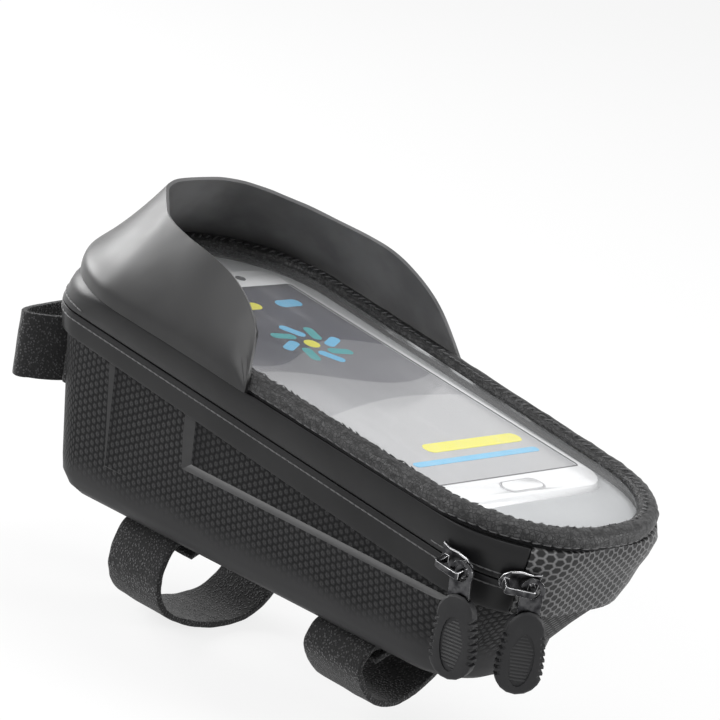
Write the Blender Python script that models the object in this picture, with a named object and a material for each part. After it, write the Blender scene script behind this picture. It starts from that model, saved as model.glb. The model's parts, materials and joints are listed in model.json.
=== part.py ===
# Bike phone bag: a moulded tub with a zip-round lid, a clear phone window, a sun visor and hook straps.
# Frame: +X right, +Y towards the head tube, +Z up, origin at the centre of the flat underside.

import bpy
import bmesh
import math
from collections import namedtuple
from mathutils import Matrix, Vector

MM = 0.001

# Body plan, measured to the centre line of the lid's binding
HEAD_HALF_WIDTH = 43.8 * MM
NOSE_HALF_WIDTH = 36.4 * MM
HEAD_END = 96.5 * MM
NOSE_END = 95.0 * MM
BINDING_HEAD_RADIUS = 36.0 * MM
BINDING_NOSE_RADIUS = 34.3 * MM

# Heights of the sloping lid plane above the underside
LID_HEIGHT_HEAD = 73.0 * MM
LID_HEIGHT_NOSE = 54.0 * MM

# Clearance left between pieces that touch on the real bag
SEAT = 0.3 * MM

# Lid binding, window film and the shade of foam under the phone
BINDING_HALF_WIDTH = 3.0 * MM
BINDING_HALF_HEIGHT = 2.7 * MM
FILM_THICKNESS = 0.6 * MM
FILM_CROWN = 0.9 * MM
PAD_THICKNESS = 1.6 * MM

# Smooth band round the lid edge and the tub rim, parted by the zip
BAND_THICKNESS = 1.6 * MM
SHOULDER_DEPTH = 5.6 * MM
ZIP_DEPTH_HEAD = 12.0 * MM
ZIP_DEPTH_NOSE = 14.5 * MM
HEM_DEPTH_HEAD = 19.8 * MM
HEM_DEPTH_NOSE = 25.0 * MM
SEAM_STEP = 5

# Each level of the body, set out from the binding's line at the head's sides, the nose's sides,
# the head's end and the nose's end, with its corner radii at the head and the nose
BAND_TOP_OFFSETS = (3.2 * MM, 1.6 * MM, 2.4 * MM, 1.2 * MM)
BAND_TOP_RADII = (36.5 * MM, 31.0 * MM)
SHOULDER_OFFSETS = (3.2 * MM, 1.5 * MM, 2.4 * MM, 1.2 * MM)
SHOULDER_RADII = (30.5 * MM, 28.5 * MM)
ZIP_OFFSETS = (0.4 * MM, -1.7 * MM, -1.4 * MM, -2.2 * MM)
ZIP_RADII = (16.0 * MM, 24.0 * MM)
HEM_OFFSETS = (-1.4 * MM, -3.2 * MM, -3.4 * MM, -4.6 * MM)
HEM_RADII = (13.0 * MM, 27.0 * MM)
FLOOR_OFFSETS = (-8.6 * MM, -10.6 * MM, -7.0 * MM, -20.5 * MM)
FLOOR_RADII = (12.0 * MM, 22.0 * MM)

# Zip tape and coil
TAPE_THICKNESS = 0.6 * MM
TAPE_WIDTH = 4.6 * MM
COIL_PITCH = 3.4 * MM
COIL_PEAK = 1.1 * MM
COIL_VALLEY = 0.55 * MM

# Moulded tub
TUB_WALL = 4.6 * MM
TUB_FLOOR = 3.0 * MM
TUB_EDGE_RADIUS = 12.0 * MM
TUB_BREAK = 0.42
PANEL_STEP_DEPTH = 1.3 * MM
PANEL_BEVEL = 1.2 * MM
FIRST_PANEL_Y = 64.0 * MM
FIRST_PANEL_Z = 16.0 * MM
SECOND_PANEL_Y = 31.0 * MM
SECOND_PANEL_Z = 29.0 * MM

# Sun visor
VISOR_THICKNESS = 1.2 * MM
VISOR_SIDE_RISE = 26.2 * MM
VISOR_HEAD_RISE = 26.8 * MM
VISOR_SIDE_SLOPE = 0.37
VISOR_CORNER_SLOPE = 0.77
VISOR_HEAD_SLOPE = 0.67
VISOR_UPRIGHT = 4.4 * MM
VISOR_END_Y = 5.0 * MM
VISOR_CORNER_SHARE = 0.27
VISOR_LEVELS = (0.0, 0.1, 0.18, 0.32, 0.52, 0.76, 1.0)

# Phone under the window
PHONE_WIDTH = 68.0 * MM
PHONE_LENGTH = 146.0 * MM
PHONE_THICKNESS = 8.0 * MM
PHONE_CORNER = 10.0 * MM
PHONE_CENTRE_Y = 5.0 * MM
PHONE_GAP_TO_FILM = 1.4 * MM
SCREEN_WIDTH = 61.0 * MM
SCREEN_LENGTH = 122.0 * MM
SCREEN_THICKNESS = 0.5 * MM
HOME_BUTTON_LENGTH = 15.0 * MM
HOME_BUTTON_WIDTH = 5.0 * MM

# Hook straps
STRAP_THICKNESS = 2.0 * MM
BOTTOM_STRAP_WIDTH = 22.5 * MM
REAR_STRAP_Y = 54.5 * MM
FRONT_STRAP_Y = -26.0 * MM
REAR_TAIL_LENGTH = 14.0 * MM
FRONT_TAIL_LENGTH = 8.0 * MM
REAR_KEEPER_X = 9.0 * MM
FRONT_KEEPER_X = 0.0 * MM
KEEPER_LENGTH = 12.0 * MM
KEEPER_THICKNESS = 1.2 * MM
# Bends of the two bottom loops in millimetres, x across and z up, from the keeper round to the far side
REAR_LOOP = ((24, -6.2), (30, -11), (30, -17.5), (26.5, -25), (18, -31), (5, -32), (-8, -29.5),
             (-18.5, -24.5), (-23, -15.5), (-21, -5.5))
FRONT_LOOP = ((12.5, -5.6), (15.5, -9), (13, -14), (6, -18.5), (-3, -21), (-11.5, -19), (-17, -14), (-20.5, -8.5),
              (-19, -4))

HEAD_STRAP_WIDTH = 20.0 * MM
HEAD_STRAP_CENTRE_Z = 41.0 * MM
HEAD_STRAP_REACH = 15.0 * MM
HEAD_STRAP_HALF_LENGTH = 36.0 * MM
PATCH_HALF_LENGTH = 20.0 * MM
PATCH_THICKNESS = 1.3 * MM

# Zip sliders and their pulls
SLIDER_PLATE = 1.2 * MM
SLIDER_HALF_LENGTH = 5.6 * MM
SLIDER_HALF_WIDTH = 4.3 * MM
BRIDGE_HALF_SPAN = 4.3 * MM
BRIDGE_CLEARANCE = 3.4 * MM
BRIDGE_THICKNESS = 1.0 * MM
BRIDGE_WIDTH = 2.2 * MM
BRIDGE_LEG = 1.4 * MM
REAR_SLIDER_FROM_NOSE = 19.4 * MM
SLIDER_LIFT = 1.6 * MM
REAR_SLIDER_TRAVEL = 144.0 * MM
FRONT_SLIDER_ANGLE = math.radians(52.0)
FRONT_SLIDER_TRAVEL = 2.5 * MM
LINK_THICKNESS = 1.2 * MM
LINK_EYE_RADIUS = 3.6 * MM
LINK_HOLE_RADIUS = 2.2 * MM
LINK_HALF_WIDTH = 3.2 * MM
LINK_LENGTH = 10.4 * MM
GRIP_DROP = 5.6 * MM
GRIP_LENGTH = 23.6 * MM
GRIP_HALF_WIDTH = 6.5 * MM
GRIP_TOP_HALF_WIDTH = 4.9 * MM
GRIP_THICKNESS = 3.6 * MM
GRIP_NOTCHES = 7
GRIP_NOTCH_DEPTH = 0.9 * MM
GRIP_RECESS = 0.6 * MM
REAR_PULL_YAW = math.radians(12.0)
REAR_PULL_TILT = math.radians(7.0)
FRONT_PULL_TILT = math.radians(3.0)

# How finely curves are divided
NOSE_STEPS = 12
SIDE_STEPS = 9
HEAD_STEPS = 9
HEAD_FLAT_STEPS = 3

Line = namedtuple("Line", "head_half nose_half head_y nose_y head_r nose_r")


def body_line(head_side, nose_side, head_end, nose_end, head_r, nose_r):
    """Plan outline set out from the binding's centre line by the given distances."""
    return Line(HEAD_HALF_WIDTH + head_side, NOSE_HALF_WIDTH + nose_side,
                HEAD_END + head_end, -NOSE_END - nose_end, head_r, nose_r)


BINDING_LINE = body_line(0.0, 0.0, 0.0, 0.0, BINDING_HEAD_RADIUS, BINDING_NOSE_RADIUS)
BAND_TOP_LINE = body_line(*BAND_TOP_OFFSETS, *BAND_TOP_RADII)
SHOULDER_LINE = body_line(*SHOULDER_OFFSETS, *SHOULDER_RADII)
ZIP_LINE = body_line(*ZIP_OFFSETS, *ZIP_RADII)
HEM_LINE = body_line(*HEM_OFFSETS, *HEM_RADII)
FLOOR_LINE = body_line(*FLOOR_OFFSETS, *FLOOR_RADII)


def inset(line, distance):
    """The same outline moved inwards all round."""
    return Line(line.head_half - distance, line.nose_half - distance,
                line.head_y - distance, line.nose_y + distance,
                line.head_r - distance, line.nose_r - distance)


def between(first, second, share):
    return Line(*(a + (b - a) * share for a, b in zip(first, second)))


def lerp(a, b, t):
    return a + (b - a) * t


def lid_height(y):
    """Height of the sloping plane through the binding's centre line."""
    return lerp(LID_HEIGHT_NOSE, LID_HEIGHT_HEAD, (y + NOSE_END) / (HEAD_END + NOSE_END))


def head_share(y):
    return (y + NOSE_END) / (HEAD_END + NOSE_END)


def zip_depth(y):
    return lerp(ZIP_DEPTH_NOSE, ZIP_DEPTH_HEAD, head_share(y))


def hem_depth(y):
    return lerp(HEM_DEPTH_NOSE, HEM_DEPTH_HEAD, head_share(y))


def half_plan(line):
    """Left half of an outline, from the nose's middle round to the head's middle."""
    taper = math.atan2(line.head_half - line.nose_half, line.head_y - line.nose_y)

    def corner(y, radius):
        side_x = -(line.nose_half + (y - line.nose_y) * math.tan(taper))
        return Vector((side_x + radius / math.cos(taper), y))

    nose_c = corner(line.nose_y + line.nose_r, line.nose_r)
    head_c = corner(line.head_y - line.head_r, line.head_r)
    points = [Vector((0.0, line.nose_y))]
    for k in range(NOSE_STEPS + 1):
        turn = (math.pi / 2 - taper) * k / NOSE_STEPS
        points.append(nose_c + line.nose_r * Vector((-math.sin(turn), -math.cos(turn))))
    side_start = points[-1]
    side_end = head_c + line.head_r * Vector((-math.cos(taper), -math.sin(taper)))
    for k in range(1, SIDE_STEPS):
        points.append(side_start.lerp(side_end, k / SIDE_STEPS))
    for k in range(HEAD_STEPS + 1):
        turn = -taper + (math.pi / 2 + taper) * k / HEAD_STEPS
        points.append(head_c + line.head_r * Vector((-math.cos(turn), math.sin(turn))))
    flat_start = points[-1]
    for k in range(1, HEAD_FLAT_STEPS + 1):
        points.append(flat_start.lerp(Vector((0.0, line.head_y)), k / HEAD_FLAT_STEPS))
    return points


def plan(line):
    """Whole closed outline, clockwise seen from above, from the nose's middle."""
    left = half_plan(line)
    right = [Vector((-p.x, p.y)) for p in left[1:-1]]
    return left + right[::-1]


def ring(line, height):
    """Closed loop in space: height is a function of y or one number."""
    rise = height if callable(height) else (lambda y: height)
    return [Vector((p.x, p.y, rise(p.y))) for p in plan(line)]


def below_lid(depth):
    """Height function for a level a given depth under the lid plane."""
    if callable(depth):
        return lambda y: lid_height(y) - depth(y)
    return lambda y: lid_height(y) - depth


# Finishes


def finish(name, colour, roughness, metallic=0.0, alpha=1.0):
    material = bpy.data.materials.new(name)
    material.use_nodes = True
    shader = material.node_tree.nodes["Principled BSDF"]
    shader.inputs["Base Color"].default_value = (*colour, 1.0)
    shader.inputs["Roughness"].default_value = roughness
    shader.inputs["Metallic"].default_value = metallic
    shader.inputs["Alpha"].default_value = alpha
    return material


# Mesh builders


def add_object(name, mesh_maker, material, smooth_angle=35.0):
    """Makes one closed object from a bmesh, with its faces turned outwards."""
    mesh = bpy.data.meshes.new(name)
    bm = bmesh.new()
    mesh_maker(bm)
    bmesh.ops.recalc_face_normals(bm, faces=bm.faces)
    if bm.calc_volume(signed=True) < 0:
        bmesh.ops.reverse_faces(bm, faces=bm.faces)
    bm.to_mesh(mesh)
    bm.free()
    mesh.materials.append(material)
    mesh.shade_smooth()
    mesh.set_sharp_from_angle(angle=math.radians(smooth_angle))
    obj = bpy.data.objects.new(name, mesh)
    bpy.context.scene.collection.objects.link(obj)
    return obj


def quad_rows(bm, rows, wrap_rows, wrap_columns):
    """Joins rows of vertices with quads, closing either way round if asked."""
    row_count = len(rows) if wrap_rows else len(rows) - 1
    column_count = len(rows[0]) if wrap_columns else len(rows[0]) - 1
    for r in range(row_count):
        upper = rows[r]
        lower = rows[(r + 1) % len(rows)]
        for c in range(column_count):
            n = (c + 1) % len(upper)
            bm.faces.new((upper[c], upper[n], lower[n], lower[c]))


def stack(loops):
    """Closed solid skinned over a stack of loops, with flat ends."""
    def make(bm):
        rows = [[bm.verts.new(p) for p in loop] for loop in loops]
        quad_rows(bm, rows, False, True)
        bm.faces.new(rows[0])
        bm.faces.new(rows[-1][::-1])
    return make


def tube(sections):
    """Closed solid whose sections are joined end to end in a ring."""
    def make(bm):
        rows = [[bm.verts.new(p) for p in section] for section in sections]
        quad_rows(bm, rows, True, True)
    return make


def rod(sections):
    """Closed solid along an open path, each section a small loop."""
    def make(bm):
        rows = [[bm.verts.new(p) for p in section] for section in sections]
        quad_rows(bm, rows, False, True)
        bm.faces.new(rows[0])
        bm.faces.new(rows[-1][::-1])
    return make


def sheet(outer, inner, closed):
    """Solid sheet between two grids of points; rows are levels, columns run along the sheet."""
    def make(bm):
        out = [[bm.verts.new(p) for p in row] for row in outer]
        back = [[bm.verts.new(p) for p in row] for row in inner]
        quad_rows(bm, out, False, closed)
        quad_rows(bm, back, False, closed)
        quad_rows(bm, [out[0], back[0]], False, closed)
        quad_rows(bm, [out[-1], back[-1]], False, closed)
        if not closed:
            for end in (0, -1):
                quad_rows(bm, [[row[end] for row in out], [row[end] for row in back]], False, False)
    return make


def cut(obj, cutters):
    """Cuts obj with hidden cutter objects."""
    for cutter in cutters:
        cutter.hide_render = True
        cutter.display_type = "WIRE"
        cutter.hide_set(True)
        modifier = obj.modifiers.new("cut " + cutter.name, "BOOLEAN")
        modifier.operation = "DIFFERENCE"
        modifier.solver = "EXACT"
        modifier.object = cutter


def smooth_path(points, steps, before=None, after=None):
    """Catmull-Rom curve through open path points, with optional guides past its ends."""
    before = before or points[0] * 2 - points[1]
    after = after or points[-1] * 2 - points[-2]
    padded = [before] + points + [after]
    out = []
    for i in range(1, len(padded) - 2):
        a, b, c, d = padded[i - 1:i + 3]
        for k in range(steps):
            t = k / steps
            out.append(0.5 * (2 * b + (c - a) * t + (2 * a - 5 * b + 4 * c - d) * t * t
                              + (3 * b - a - 3 * c + d) * t ** 3))
    return out + [points[-1]]


def smooth_step(t):
    t = min(max(t, 0.0), 1.0)
    return t * t * (3 - 2 * t)


# Tub


def side_plane_point(y, z, out):
    """Point of the tub's left side wall at y and z, moved outwards by out."""
    hem_z = lid_height(y) - hem_depth(y)
    share = z / hem_z
    line = between(FLOOR_LINE, inset(HEM_LINE, BAND_THICKNESS + SEAT), share)
    half = lerp(line.nose_half, line.head_half, (y - line.nose_y) / (line.head_y - line.nose_y))
    return Vector((-half - out, y, z))


def panel_cutter(name, start_y, low_z, depth, sign):
    """Wedge-shaped cutter for one recessed side panel, with bevelled edges."""
    end_y = -NOSE_END
    grid = []
    for out, spread in ((-depth, 0.0), (PANEL_BEVEL, PANEL_BEVEL + depth), (8 * MM, PANEL_BEVEL + depth)):
        rows = []
        for y in (start_y + spread, end_y):
            for z in (low_z - spread, LID_HEIGHT_HEAD):
                p = side_plane_point(y, z, out)
                rows.append(Vector((p.x * sign, p.y, p.z)))
        grid.append([rows[0], rows[1], rows[3], rows[2]])
    return add_object(name, stack(grid), FINISHES["shell"])


def make_tub():
    rim = inset(between(ZIP_LINE, HEM_LINE, 0.62), BAND_THICKNESS + SEAT)
    hem = inset(HEM_LINE, BAND_THICKNESS + SEAT)
    rim_depth = lambda y: zip_depth(y) + TAPE_WIDTH + SEAT
    loops = []
    for k in range(5):
        turn = math.pi / 2 * k / 4
        inward = TUB_EDGE_RADIUS * (1 - math.sin(turn))
        loops.append(ring(inset_floor(inward), TUB_EDGE_RADIUS * (1 - math.cos(turn))))
    edge_z = TUB_EDGE_RADIUS
    for share in (TUB_BREAK, 1.0):
        line = between(FLOOR_LINE, hem, share)
        loops.append(ring(line, lambda y, s=share: lerp(edge_z, lid_height(y) - hem_depth(y), s)))
    loops.append(ring(rim, below_lid(rim_depth)))
    loops.append(ring(inset(rim, TUB_WALL), below_lid(rim_depth)))
    loops.append(ring(inset(hem, TUB_WALL), below_lid(hem_depth)))
    loops.append(ring(inset(FLOOR_LINE, TUB_WALL), TUB_FLOOR + TUB_EDGE_RADIUS / 2))
    loops.append(ring(inset(FLOOR_LINE, TUB_WALL + TUB_EDGE_RADIUS / 2), TUB_FLOOR))
    tub = add_object("lower_shell", stack(loops), FINISHES["shell"])
    cutters = []
    for side, sign in (("left", 1), ("right", -1)):
        cutters.append(panel_cutter("first_panel_cut_" + side, FIRST_PANEL_Y, FIRST_PANEL_Z,
                                    PANEL_STEP_DEPTH, sign))
        cutters.append(panel_cutter("second_panel_cut_" + side, SECOND_PANEL_Y, SECOND_PANEL_Z,
                                    2 * PANEL_STEP_DEPTH, sign))
    cut(tub, cutters)
    return tub


def inset_floor(distance):
    """Floor outline pulled in for the rounded bottom edge, with sound corner radii."""
    line = inset(FLOOR_LINE, distance)
    least = 2 * MM
    return line._replace(head_r=max(line.head_r, least), nose_r=max(line.nose_r, least))


# Bands, nose panel and zip


def band_levels():
    """Outer profile of the band as pairs of outline and depth function, top to hem."""
    shoulder = lambda y: SHOULDER_DEPTH
    waist = lambda y: lerp(SHOULDER_DEPTH, zip_depth(y), 0.55)
    top = lambda y: BINDING_HALF_HEIGHT + SEAT
    belly = lambda y: lerp(zip_depth(y), hem_depth(y), 0.5)
    return {
        "top": (BAND_TOP_LINE, top),
        "shoulder": (SHOULDER_LINE, shoulder),
        "waist": (between(SHOULDER_LINE, ZIP_LINE, 0.45), waist),
        "zip_over": (ZIP_LINE, lambda y: zip_depth(y) - SEAT / 2),
        "zip_under": (ZIP_LINE, lambda y: zip_depth(y) + SEAT / 2),
        "belly": (between(ZIP_LINE, HEM_LINE, 0.42), belly),
        "hem": (HEM_LINE, hem_depth),
    }


def strip(names, thickness, first, last, offset=0.0):
    """Outer and inner point grids of the band between two stations of the plan."""
    levels = band_levels()
    outer = []
    inner = []
    for name in names:
        line, depth = levels[name]
        near = ring(inset(line, offset), below_lid(depth))
        far = ring(inset(line, offset + thickness), below_lid(depth))
        outer.append(stations(near, first, last))
        inner.append(stations(far, first, last))
    return outer, inner


def stations(loop, first, last):
    """Part of a closed loop from one station to another, wrapping past the end."""
    count = len(loop)
    if last < first:
        last += count
    return [loop[i % count] for i in range(first, last + 1)]


def shift_end(grid, end, distance):
    """Moves one end column of a grid along the sheet, to leave a seam gap."""
    for row in grid:
        neighbour = row[1] if end == 0 else row[-2]
        row[end] = row[end] + (neighbour - row[end]).normalized() * distance


def make_bands():
    count = len(plan(ZIP_LINE))
    left_seam = 1 + SEAM_STEP
    right_seam = count - left_seam
    outer, inner = strip(("top", "shoulder", "waist", "zip_over"), BAND_THICKNESS, left_seam, right_seam)
    add_object("upper_band", sheet(outer, inner, False), FINISHES["band"])
    outer, inner = strip(("zip_under", "belly", "hem"), BAND_THICKNESS, left_seam, right_seam)
    add_object("lower_band", sheet(outer, inner, False), FINISHES["band"])
    names = ("top", "shoulder", "waist", "zip_over", "belly", "hem")
    outer, inner = strip(names, BAND_THICKNESS, right_seam, left_seam)
    for grid in (outer, inner):
        shift_end(grid, 0, SEAT)
        shift_end(grid, -1, SEAT)
    add_object("nose_panel", sheet(outer, inner, False), FINISHES["shell"])


def even_points(points, pitch):
    """Points at an even pitch along an open polyline."""
    lengths = [0.0]
    for a, b in zip(points, points[1:]):
        lengths.append(lengths[-1] + (b - a).length)
    count = max(int(lengths[-1] / pitch), 2)
    out = []
    seg = 0
    for k in range(count + 1):
        target = lengths[-1] * k / count
        while seg < len(points) - 2 and lengths[seg + 1] < target:
            seg += 1
        span = lengths[seg + 1] - lengths[seg]
        out.append(points[seg].lerp(points[seg + 1], (target - lengths[seg]) / span))
    return out


def make_coil(name, line, depth):
    """Zip coil as a rod whose section swells at each turn."""
    count = len(plan(line))
    path = stations(ring(line, below_lid(depth)), 2 + SEAM_STEP, count - 2 - SEAM_STEP)
    points = even_points(path, COIL_PITCH / 2)
    sections = []
    for k, p in enumerate(points):
        ahead = points[min(k + 1, len(points) - 1)] - points[max(k - 1, 0)]
        out = Vector((-ahead.y, ahead.x, 0.0)).normalized()
        size = COIL_PEAK if k % 2 else COIL_VALLEY
        up = Vector((0.0, 0.0, 1.0))
        sections.append([p + out * (COIL_PEAK - 2 * size * a) * 0.5 + up * size * b
                         for a, b in ((0, -0.5), (1, -0.5), (1, 0.5), (0, 0.5))])
    add_object(name, rod(sections), FINISHES["coil"])


def make_zip():
    count = len(plan(ZIP_LINE))
    first = 2 + SEAM_STEP
    last = count - first
    behind = BAND_THICKNESS + SEAT
    grids = {}
    for name, top, low in (("zip_tape_upper", -TAPE_WIDTH, -SEAT / 2), ("zip_tape_lower", SEAT / 2, TAPE_WIDTH)):
        outer = []
        inner = []
        for drop in (top, low):
            depth = lambda y, d=drop: zip_depth(y) + d
            rise = max(-drop, 0.0)
            line = between(ZIP_LINE, SHOULDER_LINE, 0.65 * rise / TAPE_WIDTH)
            line = line if drop < 0 else between(ZIP_LINE, HEM_LINE, 0.6 * drop / TAPE_WIDTH)
            outer.append(stations(ring(inset(line, behind), below_lid(depth)), first, last))
            inner.append(stations(ring(inset(line, behind + TAPE_THICKNESS), below_lid(depth)), first, last))
        grids[name] = (outer, inner)
        add_object(name, sheet(outer, inner, False), FINISHES["tape"])
    coil_line = inset(ZIP_LINE, behind + TAPE_THICKNESS + 2 * SEAT + COIL_PEAK / 2)
    lift = COIL_PEAK / 2 + SEAT / 2
    make_coil("zip_coil_upper", coil_line, lambda y: zip_depth(y) - lift)
    make_coil("zip_coil_lower", coil_line, lambda y: zip_depth(y) + lift)


# Lid top


def make_binding():
    sections = []
    loop = plan(BINDING_LINE)
    for k, p in enumerate(loop):
        ahead = loop[(k + 1) % len(loop)] - loop[k - 1]
        out = Vector((-ahead.y, ahead.x)).normalized()
        section = []
        for s in range(8):
            turn = 2 * math.pi * s / 8
            q = p + out * BINDING_HALF_WIDTH * math.cos(turn)
            section.append(Vector((q.x, q.y, lid_height(q.y) + BINDING_HALF_HEIGHT * math.sin(turn))))
        sections.append(section)
    add_object("lid_binding", tube(sections), FINISHES["binding"], smooth_angle=60.0)


def make_film():
    edge = inset(BINDING_LINE, BINDING_HALF_WIDTH + SEAT)
    inner_ring = inset(edge, 12 * MM)
    loops = [
        ring(inner_ring, below_lid(FILM_THICKNESS / 2 - FILM_CROWN)),
        ring(edge, below_lid(FILM_THICKNESS / 2)),
        ring(edge, below_lid(-FILM_THICKNESS / 2)),
        ring(inner_ring, below_lid(-FILM_THICKNESS / 2 - FILM_CROWN)),
    ]
    add_object("window_film", stack(loops), FINISHES["film"])


def make_pad():
    depth = FILM_THICKNESS / 2 + PHONE_GAP_TO_FILM + PHONE_THICKNESS + SEAT
    edge = inset(ZIP_LINE, BAND_THICKNESS + TAPE_THICKNESS + COIL_PEAK + 4 * SEAT)
    loops = [ring(edge, below_lid(depth + PAD_THICKNESS)), ring(edge, below_lid(depth))]
    add_object("phone_pad", stack(loops), FINISHES["foam"])


def rounded_rectangle(half_x, half_y, radius, steps, centre_y=0.0):
    points = []
    for turn, sx, sy in ((0, 1, 1), (1, -1, 1), (2, -1, -1), (3, 1, -1)):
        for k in range(steps + 1):
            a = math.pi / 2 * (turn + k / steps)
            points.append(Vector((sx * (half_x - radius) + radius * math.cos(a),
                                  centre_y + sy * (half_y - radius) + radius * math.sin(a))))
    return points


def lid_loop(points, depth):
    return [Vector((p.x, p.y, lid_height(p.y) - depth)) for p in points]


def make_phone():
    top = FILM_THICKNESS / 2 + PHONE_GAP_TO_FILM
    soft = 1.6 * MM
    loops = []
    for drop, inward in ((PHONE_THICKNESS, soft), (PHONE_THICKNESS - soft, 0.0), (soft, 0.0), (0.0, soft * 0.7)):
        outline = rounded_rectangle(PHONE_WIDTH / 2 - inward, PHONE_LENGTH / 2 - inward,
                                    PHONE_CORNER - inward, 5, PHONE_CENTRE_Y)
        loops.append(lid_loop(outline, top + drop))
    body = add_object("phone_body", stack(loops), FINISHES["phone_case"])
    sink = SCREEN_THICKNESS
    screen_outline = rounded_rectangle(SCREEN_WIDTH / 2, SCREEN_LENGTH / 2, 1.0 * MM, 2, PHONE_CENTRE_Y)
    screen = [lid_loop(screen_outline, top + sink + 0.1 * MM), lid_loop(screen_outline, top + 0.1 * MM)]
    pocket_outline = rounded_rectangle(SCREEN_WIDTH / 2 + SEAT, SCREEN_LENGTH / 2 + SEAT, 1.2 * MM, 2,
                                       PHONE_CENTRE_Y)
    pocket = [lid_loop(pocket_outline, top + sink + 0.1 * MM + SEAT), lid_loop(pocket_outline, top - 2 * MM)]
    button_y = PHONE_CENTRE_Y - (SCREEN_LENGTH + PHONE_LENGTH) / 4
    button_outline = rounded_rectangle(HOME_BUTTON_LENGTH / 2, HOME_BUTTON_WIDTH / 2, 2.4 * MM, 4, button_y)
    well_outline = rounded_rectangle(HOME_BUTTON_LENGTH / 2 + SEAT, HOME_BUTTON_WIDTH / 2 + SEAT, 2.6 * MM, 4,
                                     button_y)
    button = [lid_loop(button_outline, top + 0.9 * MM), lid_loop(button_outline, top - 0.3 * MM)]
    well = [lid_loop(well_outline, top + 0.9 * MM + SEAT), lid_loop(well_outline, top - 2 * MM)]
    cut(body, [add_object("screen_pocket_cut", stack(pocket), FINISHES["phone_case"]),
               add_object("button_well_cut", stack(well), FINISHES["phone_case"])])
    add_object("phone_screen", stack(screen), FINISHES["screen"])
    add_object("phone_home_button", stack(button), FINISHES["phone_case"])


def make_visor():
    """Open horseshoe sheet that rises from between the binding and the band."""
    base = inset(BINDING_LINE, -(BINDING_HALF_WIDTH + 1.5 * SEAT + VISOR_THICKNESS / 2))
    left = half_plan(base)
    start = next(i for i, p in enumerate(left) if p.y > VISOR_END_Y)
    share = (VISOR_END_Y - left[start - 1].y) / (left[start].y - left[start - 1].y)
    left = [left[start - 1].lerp(left[start], share)] + left[start:]
    path = left + [Vector((-p.x, p.y)) for p in left[-2::-1]]
    stations_list = even_points(path, 5.0 * MM)
    total = sum((b - a).length for a, b in zip(stations_list, stations_list[1:]))
    run = 0.0
    columns = []
    for k, p in enumerate(stations_list):
        if k:
            run += (p - stations_list[k - 1]).length
        share = 1 - abs(2 * run / total - 1)
        ahead = stations_list[min(k + 1, len(stations_list) - 1)] - stations_list[max(k - 1, 0)]
        out = Vector((-ahead.y, ahead.x, 0.0)).normalized()
        front = min(share / VISOR_CORNER_SHARE, 1.0)
        rise = lerp(VISOR_SIDE_RISE, VISOR_HEAD_RISE, smooth_step((share - 0.25) / 0.4))
        rise *= 0.12 + 0.88 * math.sqrt(1 - (1 - front) ** 2)
        slope = lerp(VISOR_SIDE_SLOPE, VISOR_CORNER_SLOPE, smooth_step((share - 0.2) / 0.45))
        slope = lerp(slope, VISOR_HEAD_SLOPE, smooth_step((share - 0.65) / 0.35))
        root = Vector((p.x, p.y, lid_height(p.y) - BINDING_HALF_HEIGHT + SEAT))
        bend = lerp(1.25, 0.78, smooth_step((share - 0.2) / 0.45))
        curve = []
        for level in VISOR_LEVELS:
            height = rise * level
            leaned = max(height - VISOR_UPRIGHT, 0.0) / max(rise - VISOR_UPRIGHT, 1 * MM)
            curve.append(root + Vector((0, 0, height)) - out * rise * slope * leaned ** bend)
        column = []
        for r, q in enumerate(curve):
            tangent = curve[min(r + 1, len(curve) - 1)] - curve[max(r - 1, 0)]
            along = Vector((ahead.x, ahead.y, 0.0)).normalized()
            normal = tangent.cross(along)
            normal = normal.normalized() if normal.dot(out) > 0 else -normal.normalized()
            column.append((q, normal))
        columns.append(column)
    rows = len(VISOR_LEVELS)
    outer = [[c[r][0] + c[r][1] * VISOR_THICKNESS / 2 for c in columns] for r in range(rows)]
    inner = [[c[r][0] - c[r][1] * VISOR_THICKNESS / 2 for c in columns] for r in range(rows)]
    add_object("sun_visor", sheet(outer, inner, False), FINISHES["visor"])


# Straps


def strap_body(name, path, origin, along, up, across, width, thickness, closed=False):
    """Flat strap swept along a path drawn in the along/up plane."""
    edges = ([], [], [], [])
    count = len(path)
    for k, p in enumerate(path):
        if closed:
            ahead = path[(k + 1) % count] - path[k - 1]
        else:
            ahead = path[min(k + 1, count - 1)] - path[max(k - 1, 0)]
        side = Vector((-ahead.y, ahead.x)).normalized() * thickness / 2
        for edge, (q, w) in zip(edges, ((p + side, 0.5), (p + side, -0.5), (p - side, 0.5), (p - side, -0.5))):
            edge.append(origin + along * q.x + up * q.y + across * width * w)
    return add_object(name, sheet([edges[0], edges[1]], [edges[2], edges[3]], closed), FINISHES["strap"])


def bottom_strap(name, y, keeper_x, tail_length, loop_points):
    """Loop under the tub whose tail runs back in under its own top run, flat inside the keeper."""
    layer = SEAT + STRAP_THICKNESS / 2
    second = layer + STRAP_THICKNESS + SEAT
    half = KEEPER_LENGTH / 2 + 1 * MM
    run_in = Vector((keeper_x - half, -second))
    run_out = Vector((keeper_x + half, -second))
    tail = [run_in + Vector((-tail_length, -0.3 * tail_length)),
            run_in + Vector((-0.5 * tail_length, -0.1 * tail_length)), run_in]
    loop = [run_out] + [Vector((x * MM, z * MM)) for x, z in loop_points] + [Vector((-15 * MM, -layer))]
    top_run = [Vector((0.0, -layer)), Vector((keeper_x + half, -layer))]
    path = smooth_path(tail, 3, after=run_out) + smooth_path(loop, 3, run_in, top_run[0]) + top_run
    origin = Vector((0.0, y, 0.0))
    strap_body(name, path, origin, Vector((1, 0, 0)), Vector((0, 0, 1)), Vector((0, 1, 0)),
               BOTTOM_STRAP_WIDTH, STRAP_THICKNESS)


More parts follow.
